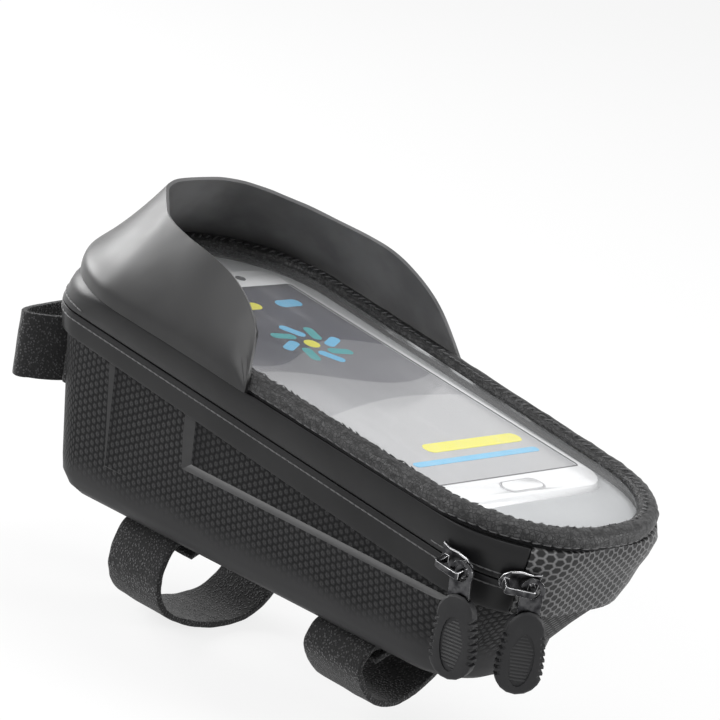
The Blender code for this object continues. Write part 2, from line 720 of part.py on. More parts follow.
def keeper(name, y, keeper_x):
    """Sewn bridge that holds both strap layers against the underside."""
    half = BOTTOM_STRAP_WIDTH / 2 + SEAT
    drop = 2 * (STRAP_THICKNESS + SEAT) + SEAT + KEEPER_THICKNESS / 2
    top = -SEAT - KEEPER_THICKNESS / 2
    wing = 6 * MM
    rise = KEEPER_THICKNESS / 2
    shape = [(-half - wing, top), (-half - rise - 1 * MM, top), (-half - rise, -drop), (half + rise, -drop),
             (half + rise + 1 * MM, top), (half + wing, top)]
    path = [Vector(p) for p in shape]
    strap_body(name, path, Vector((keeper_x, y, 0.0)), Vector((0, 1, 0)), Vector((0, 0, 1)),
               Vector((1, 0, 0)), KEEPER_LENGTH, KEEPER_THICKNESS)


def head_face_y(z):
    """Where the tub's head face stands at a height."""
    hem = inset(HEM_LINE, BAND_THICKNESS + SEAT)
    share = (z - TUB_EDGE_RADIUS) / (lid_height(hem.head_y) - hem_depth(hem.head_y) - TUB_EDGE_RADIUS)
    return lerp(FLOOR_LINE.head_y, hem.head_y, share)


def make_head_strap():
    half = HEAD_STRAP_WIDTH / 2
    low = HEAD_STRAP_CENTRE_Z - half
    high = HEAD_STRAP_CENTRE_Z + half
    lean = (Vector((0.0, head_face_y(high), high)) - Vector((0.0, head_face_y(low), low))).normalized()
    centre = Vector((0.0, head_face_y(HEAD_STRAP_CENTRE_Z), HEAD_STRAP_CENTRE_Z))
    along = Vector((1, 0, 0))
    out = lean.cross(along) if lean.cross(along).y > 0 else along.cross(lean)
    patch_y = SEAT + PATCH_THICKNESS / 2
    path = [Vector((-PATCH_HALF_LENGTH, patch_y)), Vector((0.0, patch_y)), Vector((PATCH_HALF_LENGTH, patch_y))]
    strap_body("head_strap_patch", path, centre, along, out, lean, HEAD_STRAP_WIDTH + 2 * MM, PATCH_THICKNESS)
    inner = 2 * SEAT + PATCH_THICKNESS + STRAP_THICKNESS / 2
    far = inner + HEAD_STRAP_REACH
    reach = HEAD_STRAP_HALF_LENGTH
    bow = 4 * MM
    under = inner + STRAP_THICKNESS + SEAT
    flat = PATCH_HALF_LENGTH + 2 * MM
    tail = [Vector((reach * 0.1, under)), Vector((-flat, under))]
    loop = [Vector((-flat, under)), Vector((-reach * 0.85, under + 1.5 * MM)),
            Vector((-reach - bow * 0.7, (inner + far) / 2 + 2 * MM)),
            Vector((-reach + bow, far)), Vector((0.0, far + bow)), Vector((reach - bow, far)),
            Vector((reach + bow * 0.7, (inner + far) / 2)), Vector((reach * 0.85, inner + 1 * MM)),
            Vector((flat, inner))]
    run = [Vector((0.0, inner)), Vector((-flat, inner)), Vector((-reach * 0.8, inner + 0.4 * MM))]
    path = tail[:1] + smooth_path(loop, 4, tail[0], run[0]) + run
    strap_body("head_strap", path, centre, along, out, lean, HEAD_STRAP_WIDTH, STRAP_THICKNESS)


# Zip sliders and pulls

Place = namedtuple("Place", "centre along out up")


def zip_surface(index_point):
    """Band surface point and up direction above and below one place on the zip line."""
    return Vector((index_point.x, index_point.y, lid_height(index_point.y) - zip_depth(index_point.y)))


def zip_side_frame():
    """Start, direction and outward normal of the straight left run of the zip."""
    left = half_plan(ZIP_LINE)
    start = zip_surface(left[1 + NOSE_STEPS])
    end = zip_surface(left[1 + NOSE_STEPS + SIDE_STEPS])
    along = (end - start).normalized()
    return start, end, along


def slider_place(centre, along, travel):
    """Local frame of a slider laid on the leaning band, just clear of it all along its travel."""
    upper = math.atan2(ZIP_LINE.nose_half - SHOULDER_LINE.nose_half, ZIP_DEPTH_NOSE - SHOULDER_DEPTH)
    lower = math.atan2(HEM_LINE.nose_half - ZIP_LINE.nose_half, HEM_DEPTH_NOSE - ZIP_DEPTH_NOSE)
    flat_out = Vector((-along.y, along.x, 0.0)).normalized()
    out = (Matrix.Rotation((upper + lower) / 2, 3, along) @ flat_out).normalized()
    up = along.cross(out)
    if up.z < 0:
        up = -up
    place = Place(centre + up * SLIDER_LIFT, along, out, up)
    stops = [place._replace(centre=place.centre + along * travel * k / 4) for k in range(5)]
    lift = out * (max(band_rise(stop) for stop in stops) + SEAT)
    return place._replace(centre=place.centre + lift)


def band_rise(place):
    """How far the band stands out from a place's plane, within a slider plate's outline."""
    levels = band_levels()
    names = ("shoulder", "waist", "zip_over", "zip_under", "belly", "hem")
    highest = 0.0
    for first, second in zip(names, names[1:]):
        for k in range(7):
            share = k / 6
            line = between(levels[first][0], levels[second][0], share)
            depth = lambda y: lerp(levels[first][1](y), levels[second][1](y), share)
            loop = ring(line, below_lid(depth))
            for a, b in zip(loop, loop[1:] + loop[:1]):
                for step in range(6):
                    gap = a.lerp(b, step / 6) - place.centre
                    if abs(gap.dot(place.along)) < SLIDER_HALF_LENGTH and abs(gap.dot(place.up)) < SLIDER_HALF_WIDTH:
                        highest = max(highest, gap.dot(place.out))
    return highest


def to_place(place, s, n, w):
    return place.centre + place.along * s + place.out * n + place.up * w


def slider_outline(wide_sign):
    """Shield-shaped plate: wide shoulders at one end, rounded at the other."""
    length = SLIDER_HALF_LENGTH
    width = SLIDER_HALF_WIDTH
    side = [(1.0, 1.0), (0.55, 0.84), (0.0, 0.92), (-0.55, 0.78), (-0.88, 0.45)]
    top = [(wide_sign * s * length, w * width) for s, w in side]
    return top + [(-wide_sign * length, 0.0)] + [(s, -w) for s, w in reversed(top)]


def make_slider(name, place, wide_sign):
    outline = slider_outline(wide_sign)
    soft = 0.3 * MM
    loops = []
    for n, share in ((0.0, 1.0), (SLIDER_PLATE - soft, 1.0), (SLIDER_PLATE, 0.92)):
        loops.append([to_place(place, s * share, n, w * share) for s, w in outline])
    body = add_object(name, stack(loops), FINISHES["gunmetal"])
    high = SLIDER_PLATE + BRIDGE_CLEARANCE
    inner = BRIDGE_HALF_SPAN - BRIDGE_LEG
    sink = 0.5 * MM
    profile = [(-BRIDGE_HALF_SPAN, SLIDER_PLATE - sink), (-inner, SLIDER_PLATE - sink), (-inner, high),
               (inner, high), (inner, SLIDER_PLATE - sink), (BRIDGE_HALF_SPAN, SLIDER_PLATE - sink),
               (BRIDGE_HALF_SPAN, high + BRIDGE_THICKNESS * 0.4),
               (BRIDGE_HALF_SPAN - 0.8 * MM, high + BRIDGE_THICKNESS),
               (-BRIDGE_HALF_SPAN + 0.8 * MM, high + BRIDGE_THICKNESS),
               (-BRIDGE_HALF_SPAN, high + BRIDGE_THICKNESS * 0.4)]
    loops = [[to_place(place, s, n, w) for s, n in profile] for w in (-BRIDGE_WIDTH / 2, BRIDGE_WIDTH / 2)]
    bridge = add_object(name + "_bridge_form", stack(loops), FINISHES["gunmetal"])
    bridge.hide_render = True
    bridge.display_type = "WIRE"
    bridge.hide_set(True)
    union = body.modifiers.new("bridge", "BOOLEAN")
    union.operation = "UNION"
    union.solver = "EXACT"
    union.object = bridge
    return body


def pull_frame(place, yaw, tilt):
    """Frame of a hanging pull: its eye centre, side, face and down directions."""
    eye = to_place(place, -(BRIDGE_HALF_SPAN - BRIDGE_LEG / 2),
                   SLIDER_PLATE + BRIDGE_CLEARANCE / 2, 0.0)
    face = Vector((place.out.x, place.out.y, 0.0)).normalized()
    face = Matrix.Rotation(yaw, 3, "Z") @ face
    side = Vector((0, 0, 1)).cross(face).normalized()
    if side.dot(place.along) < 0:
        side = -side
    down = (Vector((0, 0, -1)) * math.cos(tilt) - side * math.sin(tilt)).normalized()
    side = (side - down * side.dot(down)).normalized()
    return Place(eye, side, face, -down)


def make_link(name, frame):
    """Flat metal link: a round eye that runs down into a straight tang."""
    turns = 16
    join = math.asin(LINK_HALF_WIDTH / LINK_EYE_RADIUS)
    outline = []
    for k in range(turns + 1):
        a = -math.pi / 2 + join + (2 * math.pi - 2 * join) * k / turns
        outline.append((LINK_EYE_RADIUS * math.cos(a), LINK_EYE_RADIUS * math.sin(a)))
    outline.append((-LINK_HALF_WIDTH, -LINK_LENGTH))
    outline.append((LINK_HALF_WIDTH, -LINK_LENGTH))
    half = LINK_THICKNESS / 2
    loops = [[to_place(frame, s, n, w) for s, w in outline] for n in (-half, half)]
    link = add_object(name, stack(loops), FINISHES["gunmetal"])
    hole = [(LINK_HOLE_RADIUS * math.cos(2 * math.pi * k / 14), LINK_HOLE_RADIUS * math.sin(2 * math.pi * k / 14))
            for k in range(14)]
    cutter = add_object(name + "_eye_cut",
                        stack([[to_place(frame, s, n, w) for s, w in hole] for n in (-2 * MM, 2 * MM)]),
                        FINISHES["gunmetal"])
    cut(link, [cutter])


def grip_half_width(drop):
    """Half width of the rubber grip at a distance below its top."""
    share = drop / GRIP_LENGTH
    body = lerp(GRIP_TOP_HALF_WIDTH, GRIP_HALF_WIDTH, smooth_step(share / 0.65))
    top = GRIP_TOP_HALF_WIDTH
    bottom = GRIP_HALF_WIDTH
    if drop < top:
        body *= math.sqrt(max(1 - ((top - drop) / top) ** 2, 0.0))
    if GRIP_LENGTH - drop < bottom:
        body *= math.sqrt(max(1 - ((bottom - (GRIP_LENGTH - drop)) / bottom) ** 2, 0.0))
    return body


def grip_outline():
    """Closed outline with notched sides, from the top down one side and up the other."""
    drops = [(0.0, 0.0)]
    for share in (0.02, 0.08, 0.16):
        drops.append((share * GRIP_LENGTH, 0.0))
    first = 0.26 * GRIP_LENGTH
    pitch = 0.56 * GRIP_LENGTH / GRIP_NOTCHES
    for k in range(GRIP_NOTCHES):
        y = first + k * pitch
        for step, depth in ((0.0, 0.0), (0.12, 1.0), (0.5, 1.0), (0.62, 0.0)):
            drops.append((y + step * pitch, depth * GRIP_NOTCH_DEPTH))
    for share in (0.86, 0.93, 0.98, 1.0):
        drops.append((share * GRIP_LENGTH, 0.0))
    right = [(grip_half_width(d) - n, -d) for d, n in drops]
    return right + [(-s, w) for s, w in right[-2:0:-1]]


def make_grip(name, frame):
    """Moulded rubber grip with notched edges, an oval recess and a slot for the link."""
    half = GRIP_THICKNESS / 2
    soft = 0.5 * MM
    outline = grip_outline()
    loops = []
    for n, share in ((-half, 0.9), (-half + soft, 1.0), (half - soft, 1.0), (half, 0.9)):
        middle = -GRIP_LENGTH / 2
        loops.append([to_place(frame, s * share, n, -GRIP_DROP + middle + (w - middle) * lerp(1, share, 0.5))
                      for s, w in outline])
    grip = add_object(name, stack(loops), FINISHES["rubber"])
    slot_half = LINK_HALF_WIDTH + SEAT
    slot_deep = LINK_THICKNESS / 2 + SEAT
    slot = [[to_place(frame, s, n, w) for s, w in ((-slot_half, 0.0), (slot_half, 0.0),
                                                   (slot_half, -LINK_LENGTH - SEAT),
                                                   (-slot_half, -LINK_LENGTH - SEAT))]
            for n in (-slot_deep, slot_deep)]
    oval = []
    for k in range(20):
        a = 2 * math.pi * k / 20
        oval.append((3.4 * MM * math.cos(a), -GRIP_DROP - GRIP_LENGTH * 0.58 + 7.6 * MM * math.sin(a)))
    recess = [[to_place(frame, s, n, w) for s, w in oval] for n in (half - GRIP_RECESS, half + 1 * MM)]
    cut(grip, [add_object(name + "_slot_cut", stack(slot), FINISHES["rubber"]),
               add_object(name + "_recess_cut", stack(recess), FINISHES["rubber"])])


def make_sliders():
    start, end, along = zip_side_frame()
    rear_centre = start + along * ((REAR_SLIDER_FROM_NOSE - NOSE_END - start.y) / along.y)
    rear = slider_place(rear_centre, along, REAR_SLIDER_TRAVEL)
    make_slider("slider_rear", rear, 1)
    rear_pull = pull_frame(rear, REAR_PULL_YAW, REAR_PULL_TILT)
    make_link("pull_link_rear", rear_pull)
    make_grip("pull_grip_rear", rear_pull)
    corner_y = ZIP_LINE.nose_y + ZIP_LINE.nose_r
    left = half_plan(ZIP_LINE)
    corner_x = left[1].x
    turn = FRONT_SLIDER_ANGLE
    radial = Vector((-math.cos(turn), -math.sin(turn), 0.0))
    place_on_arc = Vector((corner_x, corner_y, 0.0)) + radial * ZIP_LINE.nose_r
    front_centre = zip_surface(place_on_arc)
    flat_along = Vector((-math.sin(turn), math.cos(turn), 0.0))
    slope = (lid_height(1.0) - zip_depth(1.0)) - (lid_height(0.0) - zip_depth(0.0))
    front_along = (flat_along + Vector((0, 0, slope * flat_along.y))).normalized()
    front = slider_place(front_centre, front_along, FRONT_SLIDER_TRAVEL)
    make_slider("slider_front", front, -1)
    front_pull = pull_frame(front, 0.0, FRONT_PULL_TILT)
    make_link("pull_link_front", front_pull)
    make_grip("pull_grip_front", front_pull)
    put_origin(("slider_rear",), rear.centre)
    put_origin(("pull_link_rear", "pull_grip_rear"), rear_pull.centre)
    put_origin(("slider_front",), front.centre)
    put_origin(("pull_link_front", "pull_grip_front"), front_pull.centre)
    return rear, rear_pull, front, front_pull


def put_origin(names, point):
    """Moves the origins of moving pieces onto their joint axis."""
    for name in names:
        obj = bpy.data.objects[name]
        obj.data.transform(Matrix.Translation(-point))
        obj.location = point


def clear_scene():
    for obj in list(bpy.data.objects):
        bpy.data.objects.remove(obj, do_unlink=True)


clear_scene()
FINISHES = {
    "shell": finish("textured_shell", (0.030, 0.031, 0.033), 0.62),
    "band": finish("smooth_band", (0.035, 0.036, 0.038), 0.48),
    "binding": finish("textured_binding", (0.028, 0.028, 0.030), 0.66),
    "visor": finish("visor_sheet", (0.040, 0.041, 0.043), 0.46),
    "film": finish("clear_film", (0.80, 0.82, 0.84), 0.12, 0.0, 0.25),
    "foam": finish("grey_foam", (0.46, 0.47, 0.48), 0.80),
    "strap": finish("hook_strap", (0.020, 0.020, 0.022), 0.92),
    "tape": finish("zip_tape", (0.012, 0.012, 0.013), 0.85),
    "coil": finish("zip_coil", (0.016, 0.016, 0.018), 0.45),
    "gunmetal": finish("gunmetal", (0.20, 0.20, 0.21), 0.30, 1.0),
    "rubber": finish("black_rubber", (0.015, 0.015, 0.016), 0.60),
    "phone_case": finish("white_phone", (0.80, 0.81, 0.82), 0.30),
    "screen": finish("phone_screen", (0.030, 0.028, 0.050), 0.15),
}
make_tub()
make_bands()
make_zip()
make_binding()
make_film()
make_pad()
make_phone()
make_visor()
bottom_strap("bottom_strap_rear", REAR_STRAP_Y, REAR_KEEPER_X, REAR_TAIL_LENGTH, REAR_LOOP)
bottom_strap("bottom_strap_front", FRONT_STRAP_Y, FRONT_KEEPER_X, FRONT_TAIL_LENGTH, FRONT_LOOP)
keeper("strap_keeper_rear", REAR_STRAP_Y, REAR_KEEPER_X)
keeper("strap_keeper_front", FRONT_STRAP_Y, FRONT_KEEPER_X)
make_head_strap()
REAR_SLIDER, REAR_PULL, FRONT_SLIDER, FRONT_PULL = make_sliders()
LID_HINGE = Vector((0.0, -NOSE_END - BINDING_HALF_WIDTH, lid_height(-NOSE_END) - BINDING_HALF_HEIGHT - SEAT))
put_origin(("lid_binding", "window_film", "sun_visor", "upper_band", "zip_tape_upper", "zip_coil_upper",
            "phone_pad", "phone_body", "phone_screen", "phone_home_button"), LID_HINGE)
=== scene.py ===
# %% [markdown]
# # A bike phone bag, dressed for a studio picture
#
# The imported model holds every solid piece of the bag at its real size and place.
# This lesson gives each piece the look of its material: embossed coated foam, smooth coated
# cloth, woven straps, clear film, plated metal and rubber. Nothing here moves a piece.

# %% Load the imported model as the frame
import json
import math

import bpy
from mathutils import Euler, Matrix, Vector

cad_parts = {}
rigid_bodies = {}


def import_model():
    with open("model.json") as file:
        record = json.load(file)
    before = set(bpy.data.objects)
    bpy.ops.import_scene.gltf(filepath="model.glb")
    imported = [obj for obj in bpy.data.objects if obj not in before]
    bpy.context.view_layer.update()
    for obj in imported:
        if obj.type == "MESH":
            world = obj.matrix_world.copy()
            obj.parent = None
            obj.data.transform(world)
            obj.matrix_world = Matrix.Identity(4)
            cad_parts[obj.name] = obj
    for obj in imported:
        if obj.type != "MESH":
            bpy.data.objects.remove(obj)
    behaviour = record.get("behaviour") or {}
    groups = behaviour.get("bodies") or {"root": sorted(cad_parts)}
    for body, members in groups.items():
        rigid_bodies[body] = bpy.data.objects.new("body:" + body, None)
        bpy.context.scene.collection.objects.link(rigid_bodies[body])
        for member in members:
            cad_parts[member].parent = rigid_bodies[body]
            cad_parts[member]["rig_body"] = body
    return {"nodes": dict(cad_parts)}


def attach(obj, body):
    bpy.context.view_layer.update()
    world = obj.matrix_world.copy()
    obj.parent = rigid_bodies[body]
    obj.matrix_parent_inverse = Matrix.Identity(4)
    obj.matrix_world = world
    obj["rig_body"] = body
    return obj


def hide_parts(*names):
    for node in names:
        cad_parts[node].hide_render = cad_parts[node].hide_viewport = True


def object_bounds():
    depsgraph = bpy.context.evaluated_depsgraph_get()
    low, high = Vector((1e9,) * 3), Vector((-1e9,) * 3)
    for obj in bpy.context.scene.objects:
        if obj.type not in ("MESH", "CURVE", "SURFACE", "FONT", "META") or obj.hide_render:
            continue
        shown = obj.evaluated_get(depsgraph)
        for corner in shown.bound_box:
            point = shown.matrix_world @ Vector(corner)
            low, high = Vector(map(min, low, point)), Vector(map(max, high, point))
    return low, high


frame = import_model()
MM = 0.001
CAD_BOX = [list(corner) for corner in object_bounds()]
print("CAD box", CAD_BOX)

# %% [markdown]
# ## Working by hand, in code
#
# A Blender operator acts on whatever is selected, and loading the model leaves all of it selected.
# So each step starts by clearing the selection. The helpers below pick one object, and step in
# and out of edit mode, just as a modeller would with the mouse.


# %% Selection helpers
def pick_only(obj):
    """Makes one object selected and active."""
    for other in bpy.context.selected_objects:
        other.select_set(False)
    obj.select_set(True)
    bpy.context.view_layer.objects.active = obj


def edit_all(obj):
    """Opens edit mode with everything selected."""
    pick_only(obj)
    bpy.ops.object.mode_set(mode="EDIT")
    bpy.ops.mesh.select_all(action="SELECT")


def leave_edit():
    bpy.ops.object.mode_set(mode="OBJECT")


def apply_modifiers(obj):
    pick_only(obj)
    for modifier in list(obj.modifiers):
        bpy.ops.object.modifier_apply(modifier=modifier.name)


def settle(obj):
    """Applies place, turn and scale, so that the object itself sits at the origin."""
    pick_only(obj)
    bpy.ops.object.transform_apply(location=True, rotation=True, scale=True)


# %% [markdown]
# ## The camera
#
# The photograph was taken with a long lens from the nose's left, a little above the bag, with the
# camera rolled so that the bag seems to climb towards the upper left. A long lens keeps the two
# ends nearly the same scale. Place, turn and lens were fitted to the outlines in the picture.

# %% Place the camera
CAMERA_PLACE = (-0.65736, -0.56406, 0.32235)
CAMERA_TURN = (73.337, -11.677, -45.648)
LENS_LENGTH = 158.3
SENSOR_WIDTH = 36
bpy.ops.object.camera_add(location=CAMERA_PLACE)
camera = bpy.context.object
camera.rotation_euler = Euler([math.radians(a) for a in CAMERA_TURN])
camera.data.sensor_width = SENSOR_WIDTH
camera.data.lens = LENS_LENGTH
camera.data.clip_start = 0.01
bpy.context.scene.camera = camera
print("lens of", LENS_LENGTH, "mm on a sensor", SENSOR_WIDTH, "mm wide")

# %% [markdown]
# ## Building materials from nodes
#
# A procedural material is a small network: patterns make numbers, numbers become colour,
# roughness and bump. A few helpers keep the networks short. `node` adds one node and links or sets
# its inputs, `math_node` does one sum, `bump` turns a height into a surface normal, and `blank`
# starts a material with its plain shader values. `vary_colour` and `vary_roughness` run one shader
# value between two ends.


# %% Node helpers
def node(tree, kind, settings=None, inputs=None):
    """Adds a node; inputs may hold plain values or the output sockets to link from."""
    made = tree.nodes.new(kind)
    for key, value in (settings or {}).items():
        setattr(made, key, value)
    for key, value in (inputs or {}).items():
        if isinstance(value, bpy.types.NodeSocket):
            tree.links.new(value, made.inputs[key])
        else:
            made.inputs[key].default_value = value
    return made


def math_node(tree, operation, a, b=0.0, clamp=False):
    settings = {"operation": operation, "use_clamp": clamp}
    return node(tree, "ShaderNodeMath", settings, {0: a, 1: b}).outputs[0]


def blank(name, colour, roughness, **sockets):
    """A new material with its shader's plain values; returns it with its tree and shader."""
    material = bpy.data.materials.new(name)
    material.use_nodes = True
    shader = material.node_tree.nodes["Principled BSDF"]
    shader.inputs["Base Color"].default_value = (*colour, 1)
    shader.inputs["Roughness"].default_value = roughness
    for key, value in sockets.items():
        shader.inputs[key.replace("_", " ")].default_value = value
    return material, material.node_tree, shader


def object_point(tree):
    return node(tree, "ShaderNodeTexCoord").outputs["Object"]


def noise(tree, point, scale, detail=2.0, rough=0.5):
    return node(tree, "ShaderNodeTexNoise", None,
                {"Vector": point, "Scale": scale, "Detail": detail, "Roughness": rough}).outputs["Fac"]


def bump(tree, shader, height, distance, strength=1.0):
    """Adds a bump on top of any bump that the shader already has."""
    made = node(tree, "ShaderNodeBump", None,
                {"Height": height, "Distance": distance, "Strength": strength})
    before = shader.inputs["Normal"].links
    if before:
        tree.links.new(before[0].from_socket, made.inputs["Normal"])
    tree.links.new(made.outputs["Normal"], shader.inputs["Normal"])


def vary_colour(tree, shader, factor, dark, light):
    """Base colour that runs between two colours by a factor."""
    mix = node(tree, "ShaderNodeMix", {"data_type": "RGBA"}, {0: factor, 6: (*dark, 1), 7: (*light, 1)})
    tree.links.new(mix.outputs[2], shader.inputs["Base Color"])


def vary_roughness(tree, shader, factor, low, high):
    span = math_node(tree, "MULTIPLY", factor, high - low)
    tree.links.new(math_node(tree, "ADD", span, low), shader.inputs["Roughness"])


# %% [markdown]
# ## The embossed shell
#
# The tub and the nose panel are foam pressed under a coated skin with a honeycomb grain. The grain
# follows the walls round the corners, so it needs a flat map of the wall: each piece gets a UV map
# whose first number climbs the wall and whose second runs round the bag, both in metres.
#
# A honeycomb is two grids of rectangles, one shifted by half a cell. Each point takes the nearer
# grid's centre, and its six-sided distance from that centre says how near the cell's edge it is.
# The tub's cells swell into soft dots, painted lighter on top as a highlight, with painted shade in a
# small dimple in each middle and between the dots. On the nose the cell walls stand up as a net of
# ridges, painted pale as a highlight over darker cells. Towards the rounded bottom edge the press left
# the skin smooth, so the grain fades out there, and the skin there is painted a flat lighter grey as a
# highlight along the rim.

# %% Honeycomb pattern
HONEYCOMB_CELL = 2.35 * MM
GRAIN_UV = "up_and_round"


def ramp(tree, factor, low, high):
    """Runs smoothly from 0 at low to 1 at high."""
    return node(tree, "ShaderNodeMapRange", {"interpolation_type": "SMOOTHSTEP"},
                {0: factor, 1: low, 2: high}).outputs[0]


def vector_math(tree, operation, first, second, output=0):
    made = node(tree, "ShaderNodeVectorMath", {"operation": operation}, {0: first, 1: second})
    return made.outputs[output]


def hexagon_distance(tree, uv, cell):
    """0 in the middle of each honeycomb cell, 0.5 on its edge."""
    scaled = vector_math(tree, "MULTIPLY", uv, (1 / cell, 1 / cell, 1 / cell))
    root = math.sqrt(3)
    centres = []
    # Both grids start about 100 cells away, so that no number in the modulo is negative.
    for shift in ((100.0, 100 * root, 0.0), (100.5, 100.5 * root, 0.0)):
        wrapped = vector_math(tree, "MODULO", vector_math(tree, "ADD", scaled, shift), (1.0, root, 1.0))
        centres.append(vector_math(tree, "SUBTRACT", wrapped, (0.5, root / 2, 0.0)))
    lengths = [vector_math(tree, "LENGTH", centre, (0, 0, 0), "Value") for centre in centres]
    nearer = math_node(tree, "LESS_THAN", lengths[0], lengths[1])
    chosen = node(tree, "ShaderNodeMix", {"data_type": "VECTOR"},
                  {0: nearer, 4: centres[1], 5: centres[0]}).outputs[1]
    flat = vector_math(tree, "ABSOLUTE", chosen, (0, 0, 0))
    slanted = vector_math(tree, "DOT_PRODUCT", flat, (0.5, root / 2, 0.0), "Value")
    straight = node(tree, "ShaderNodeSeparateXYZ", None, {0: flat}).outputs[0]
    return math_node(tree, "MAXIMUM", slanted, straight)


# %% Tub and nose skins
def shell_skin(name):
    """Starts a shell material; returns it with its tree, its shader and its cell distance."""
    material, tree, shader = blank(name, (0.010, 0.010, 0.011), 0.5, Specular_IOR_Level=0.22)
    uv = node(tree, "ShaderNodeUVMap", {"uv_map": GRAIN_UV}).outputs[0]
    distance = hexagon_distance(tree, uv, HONEYCOMB_CELL)
    bump(tree, shader, noise(tree, object_point(tree), 2400, 3), 0.05 * MM, 0.35)
    return material, tree, shader, distance


TUB_SKIN, tree, shader, distance = shell_skin("embossed tub skin")
height = node(tree, "ShaderNodeSeparateXYZ", None, {0: object_point(tree)}).outputs[2]
dome = ramp(tree, distance, 0.46, 0.12)
pit = ramp(tree, distance, 0.16, 0.02)
wander = math_node(tree, "MULTIPLY", noise(tree, object_point(tree), 45, 2), 8 * MM)
pressed = ramp(tree, math_node(tree, "ADD", height, wander), 12 * MM, 21 * MM)
hollowed = math_node(tree, "SUBTRACT", dome, math_node(tree, "MULTIPLY", pit, 0.45))
dots_and_highlight = math_node(tree, "MULTIPLY", hollowed, pressed)
smooth_rim_highlight = math_node(tree, "SUBTRACT", 1.0, pressed)
shader.inputs["Specular IOR Level"].default_value = 0.14
# The dots' colour is painted: lighter on top as a highlight, darker in the dimples and between the dots
# as shade.
vary_colour(tree, shader, math_node(tree, "MULTIPLY", dots_and_highlight, 0.9),
            (0.004, 0.004, 0.0045), (0.032, 0.032, 0.033))
# Along the smooth bottom rim the colour is a flat lighter grey, a painted highlight.
painted_rim_highlight = node(tree, "ShaderNodeMix", {"data_type": "RGBA"},
                  {0: smooth_rim_highlight, 7: (0.030, 0.030, 0.031, 1)})
tree.links.new(shader.inputs["Base Color"].links[0].from_socket, painted_rim_highlight.inputs[6])
tree.links.new(painted_rim_highlight.outputs[2], shader.inputs["Base Color"])
vary_roughness(tree, shader, dots_and_highlight, 0.52, 0.40)
bump(tree, shader, dots_and_highlight, 0.26 * MM)

NOSE_SKIN, tree, shader, distance = shell_skin("embossed nose skin")
wall = ramp(tree, distance, 0.30, 0.46)
# The cell walls are painted pale as a highlight where they catch the light, over darker cells.
vary_colour(tree, shader, wall, (0.014, 0.014, 0.0145), (0.150, 0.150, 0.152))
vary_roughness(tree, shader, wall, 0.38, 0.50)
bump(tree, shader, wall, 0.32 * MM)

# The ledges are painted a lighter grey than the tub, a painted highlight where they face the light.
LEDGE_HIGHLIGHT_SKIN, tree, shader = blank("smooth pressed ledge", (0.03, 0.03, 0.031), 0.36,
                                 Specular_IOR_Level=0.35)
vary_colour(tree, shader, noise(tree, object_point(tree), 160, 3),
            (0.020, 0.020, 0.0205), (0.045, 0.045, 0.046))
bump(tree, shader, noise(tree, object_point(tree), 1800, 3), 0.04 * MM, 0.4)
print("shell skins", TUB_SKIN.name, NOSE_SKIN.name, LEDGE_HIGHLIGHT_SKIN.name)

# %% [markdown]
# ## Smooth coated cloth
#
# The bands beside the zip and the visor are cloth with a smooth soft coating. It is nearly black,
# with a broad sheen, a very fine grain and slow waves where the cloth was stretched. Black cloth
# shows light mostly as gloss, so its roughness varies more than its colour. The visor's inside has
# no coating, so it is duller and paler. The binding is the same cloth with a coarse pebbled grain,
# crumpled where it turns over the lid's edge.


# %% Coated cloth materials
def coated_cloth(name, dark, light, roughness, grain_depth, wave_depth):
    material, tree, shader = blank(name, dark, roughness, Specular_IOR_Level=0.3)
    point = object_point(tree)
    vary_colour(tree, shader, ramp(tree, noise(tree, point, 55, 4), 0.3, 0.7), dark, light)
    vary_roughness(tree, shader, noise(tree, point, 90, 4), roughness - 0.07, roughness + 0.07)
    bump(tree, shader, noise(tree, point, 3200, 2), grain_depth, 0.5)
    bump(tree, shader, noise(tree, point, 48, 2), wave_depth, 0.6)
    return material


BAND_CLOTH = coated_cloth("smooth coated band", (0.006, 0.006, 0.0065), (0.010, 0.010, 0.0105), 0.36,
                          0.02 * MM, 0.30 * MM)
BAND_CLOTH.node_tree.nodes["Principled BSDF"].inputs["Specular IOR Level"].default_value = 0.2
VISOR_CLOTH = coated_cloth("visor sheet", (0.012, 0.012, 0.0125), (0.018, 0.018, 0.0185), 0.40,
                           0.015 * MM, 0.35 * MM)
VISOR_BACKING = coated_cloth("visor backing cloth", (0.100, 0.100, 0.102), (0.150, 0.150, 0.152), 0.75,
                             0.04 * MM, 0.35 * MM)
CUT_EDGE = coated_cloth("pale cut edge", (0.06, 0.06, 0.061), (0.12, 0.12, 0.122), 0.5,
                        0.03 * MM, 0.1 * MM)
BINDING_CLOTH = coated_cloth("grained binding", (0.010, 0.010, 0.0105), (0.045, 0.045, 0.046), 0.44,
                             0.06 * MM, 0.2 * MM)
tree = BINDING_CLOTH.node_tree
shader = tree.nodes["Principled BSDF"]
crumple = noise(tree, object_point(tree), 620, 5, 0.7)
bump(tree, shader, crumple, 0.16 * MM, 0.7)
PEBBLE_SIZE = 1.25 * MM
cells = node(tree, "ShaderNodeTexVoronoi", {"feature": "DISTANCE_TO_EDGE"},
             {"Vector": object_point(tree), "Scale": 1 / PEBBLE_SIZE, "Randomness": 0.7})
pebbles = ramp(tree, cells.outputs["Distance"], 0.02, 0.16)
bump(tree, shader, pebbles, 0.07 * MM)
# The pebbles are painted lighter where the crumple rises, a painted highlight.
vary_colour(tree, shader, math_node(tree, "MULTIPLY", pebbles, ramp(tree, crumple, 0.35, 0.65)),
            (0.010, 0.010, 0.0105), (0.055, 0.055, 0.056))
print("coated cloth", [m.name for m in (BAND_CLOTH, VISOR_CLOTH, CUT_EDGE, BINDING_CLOTH)])
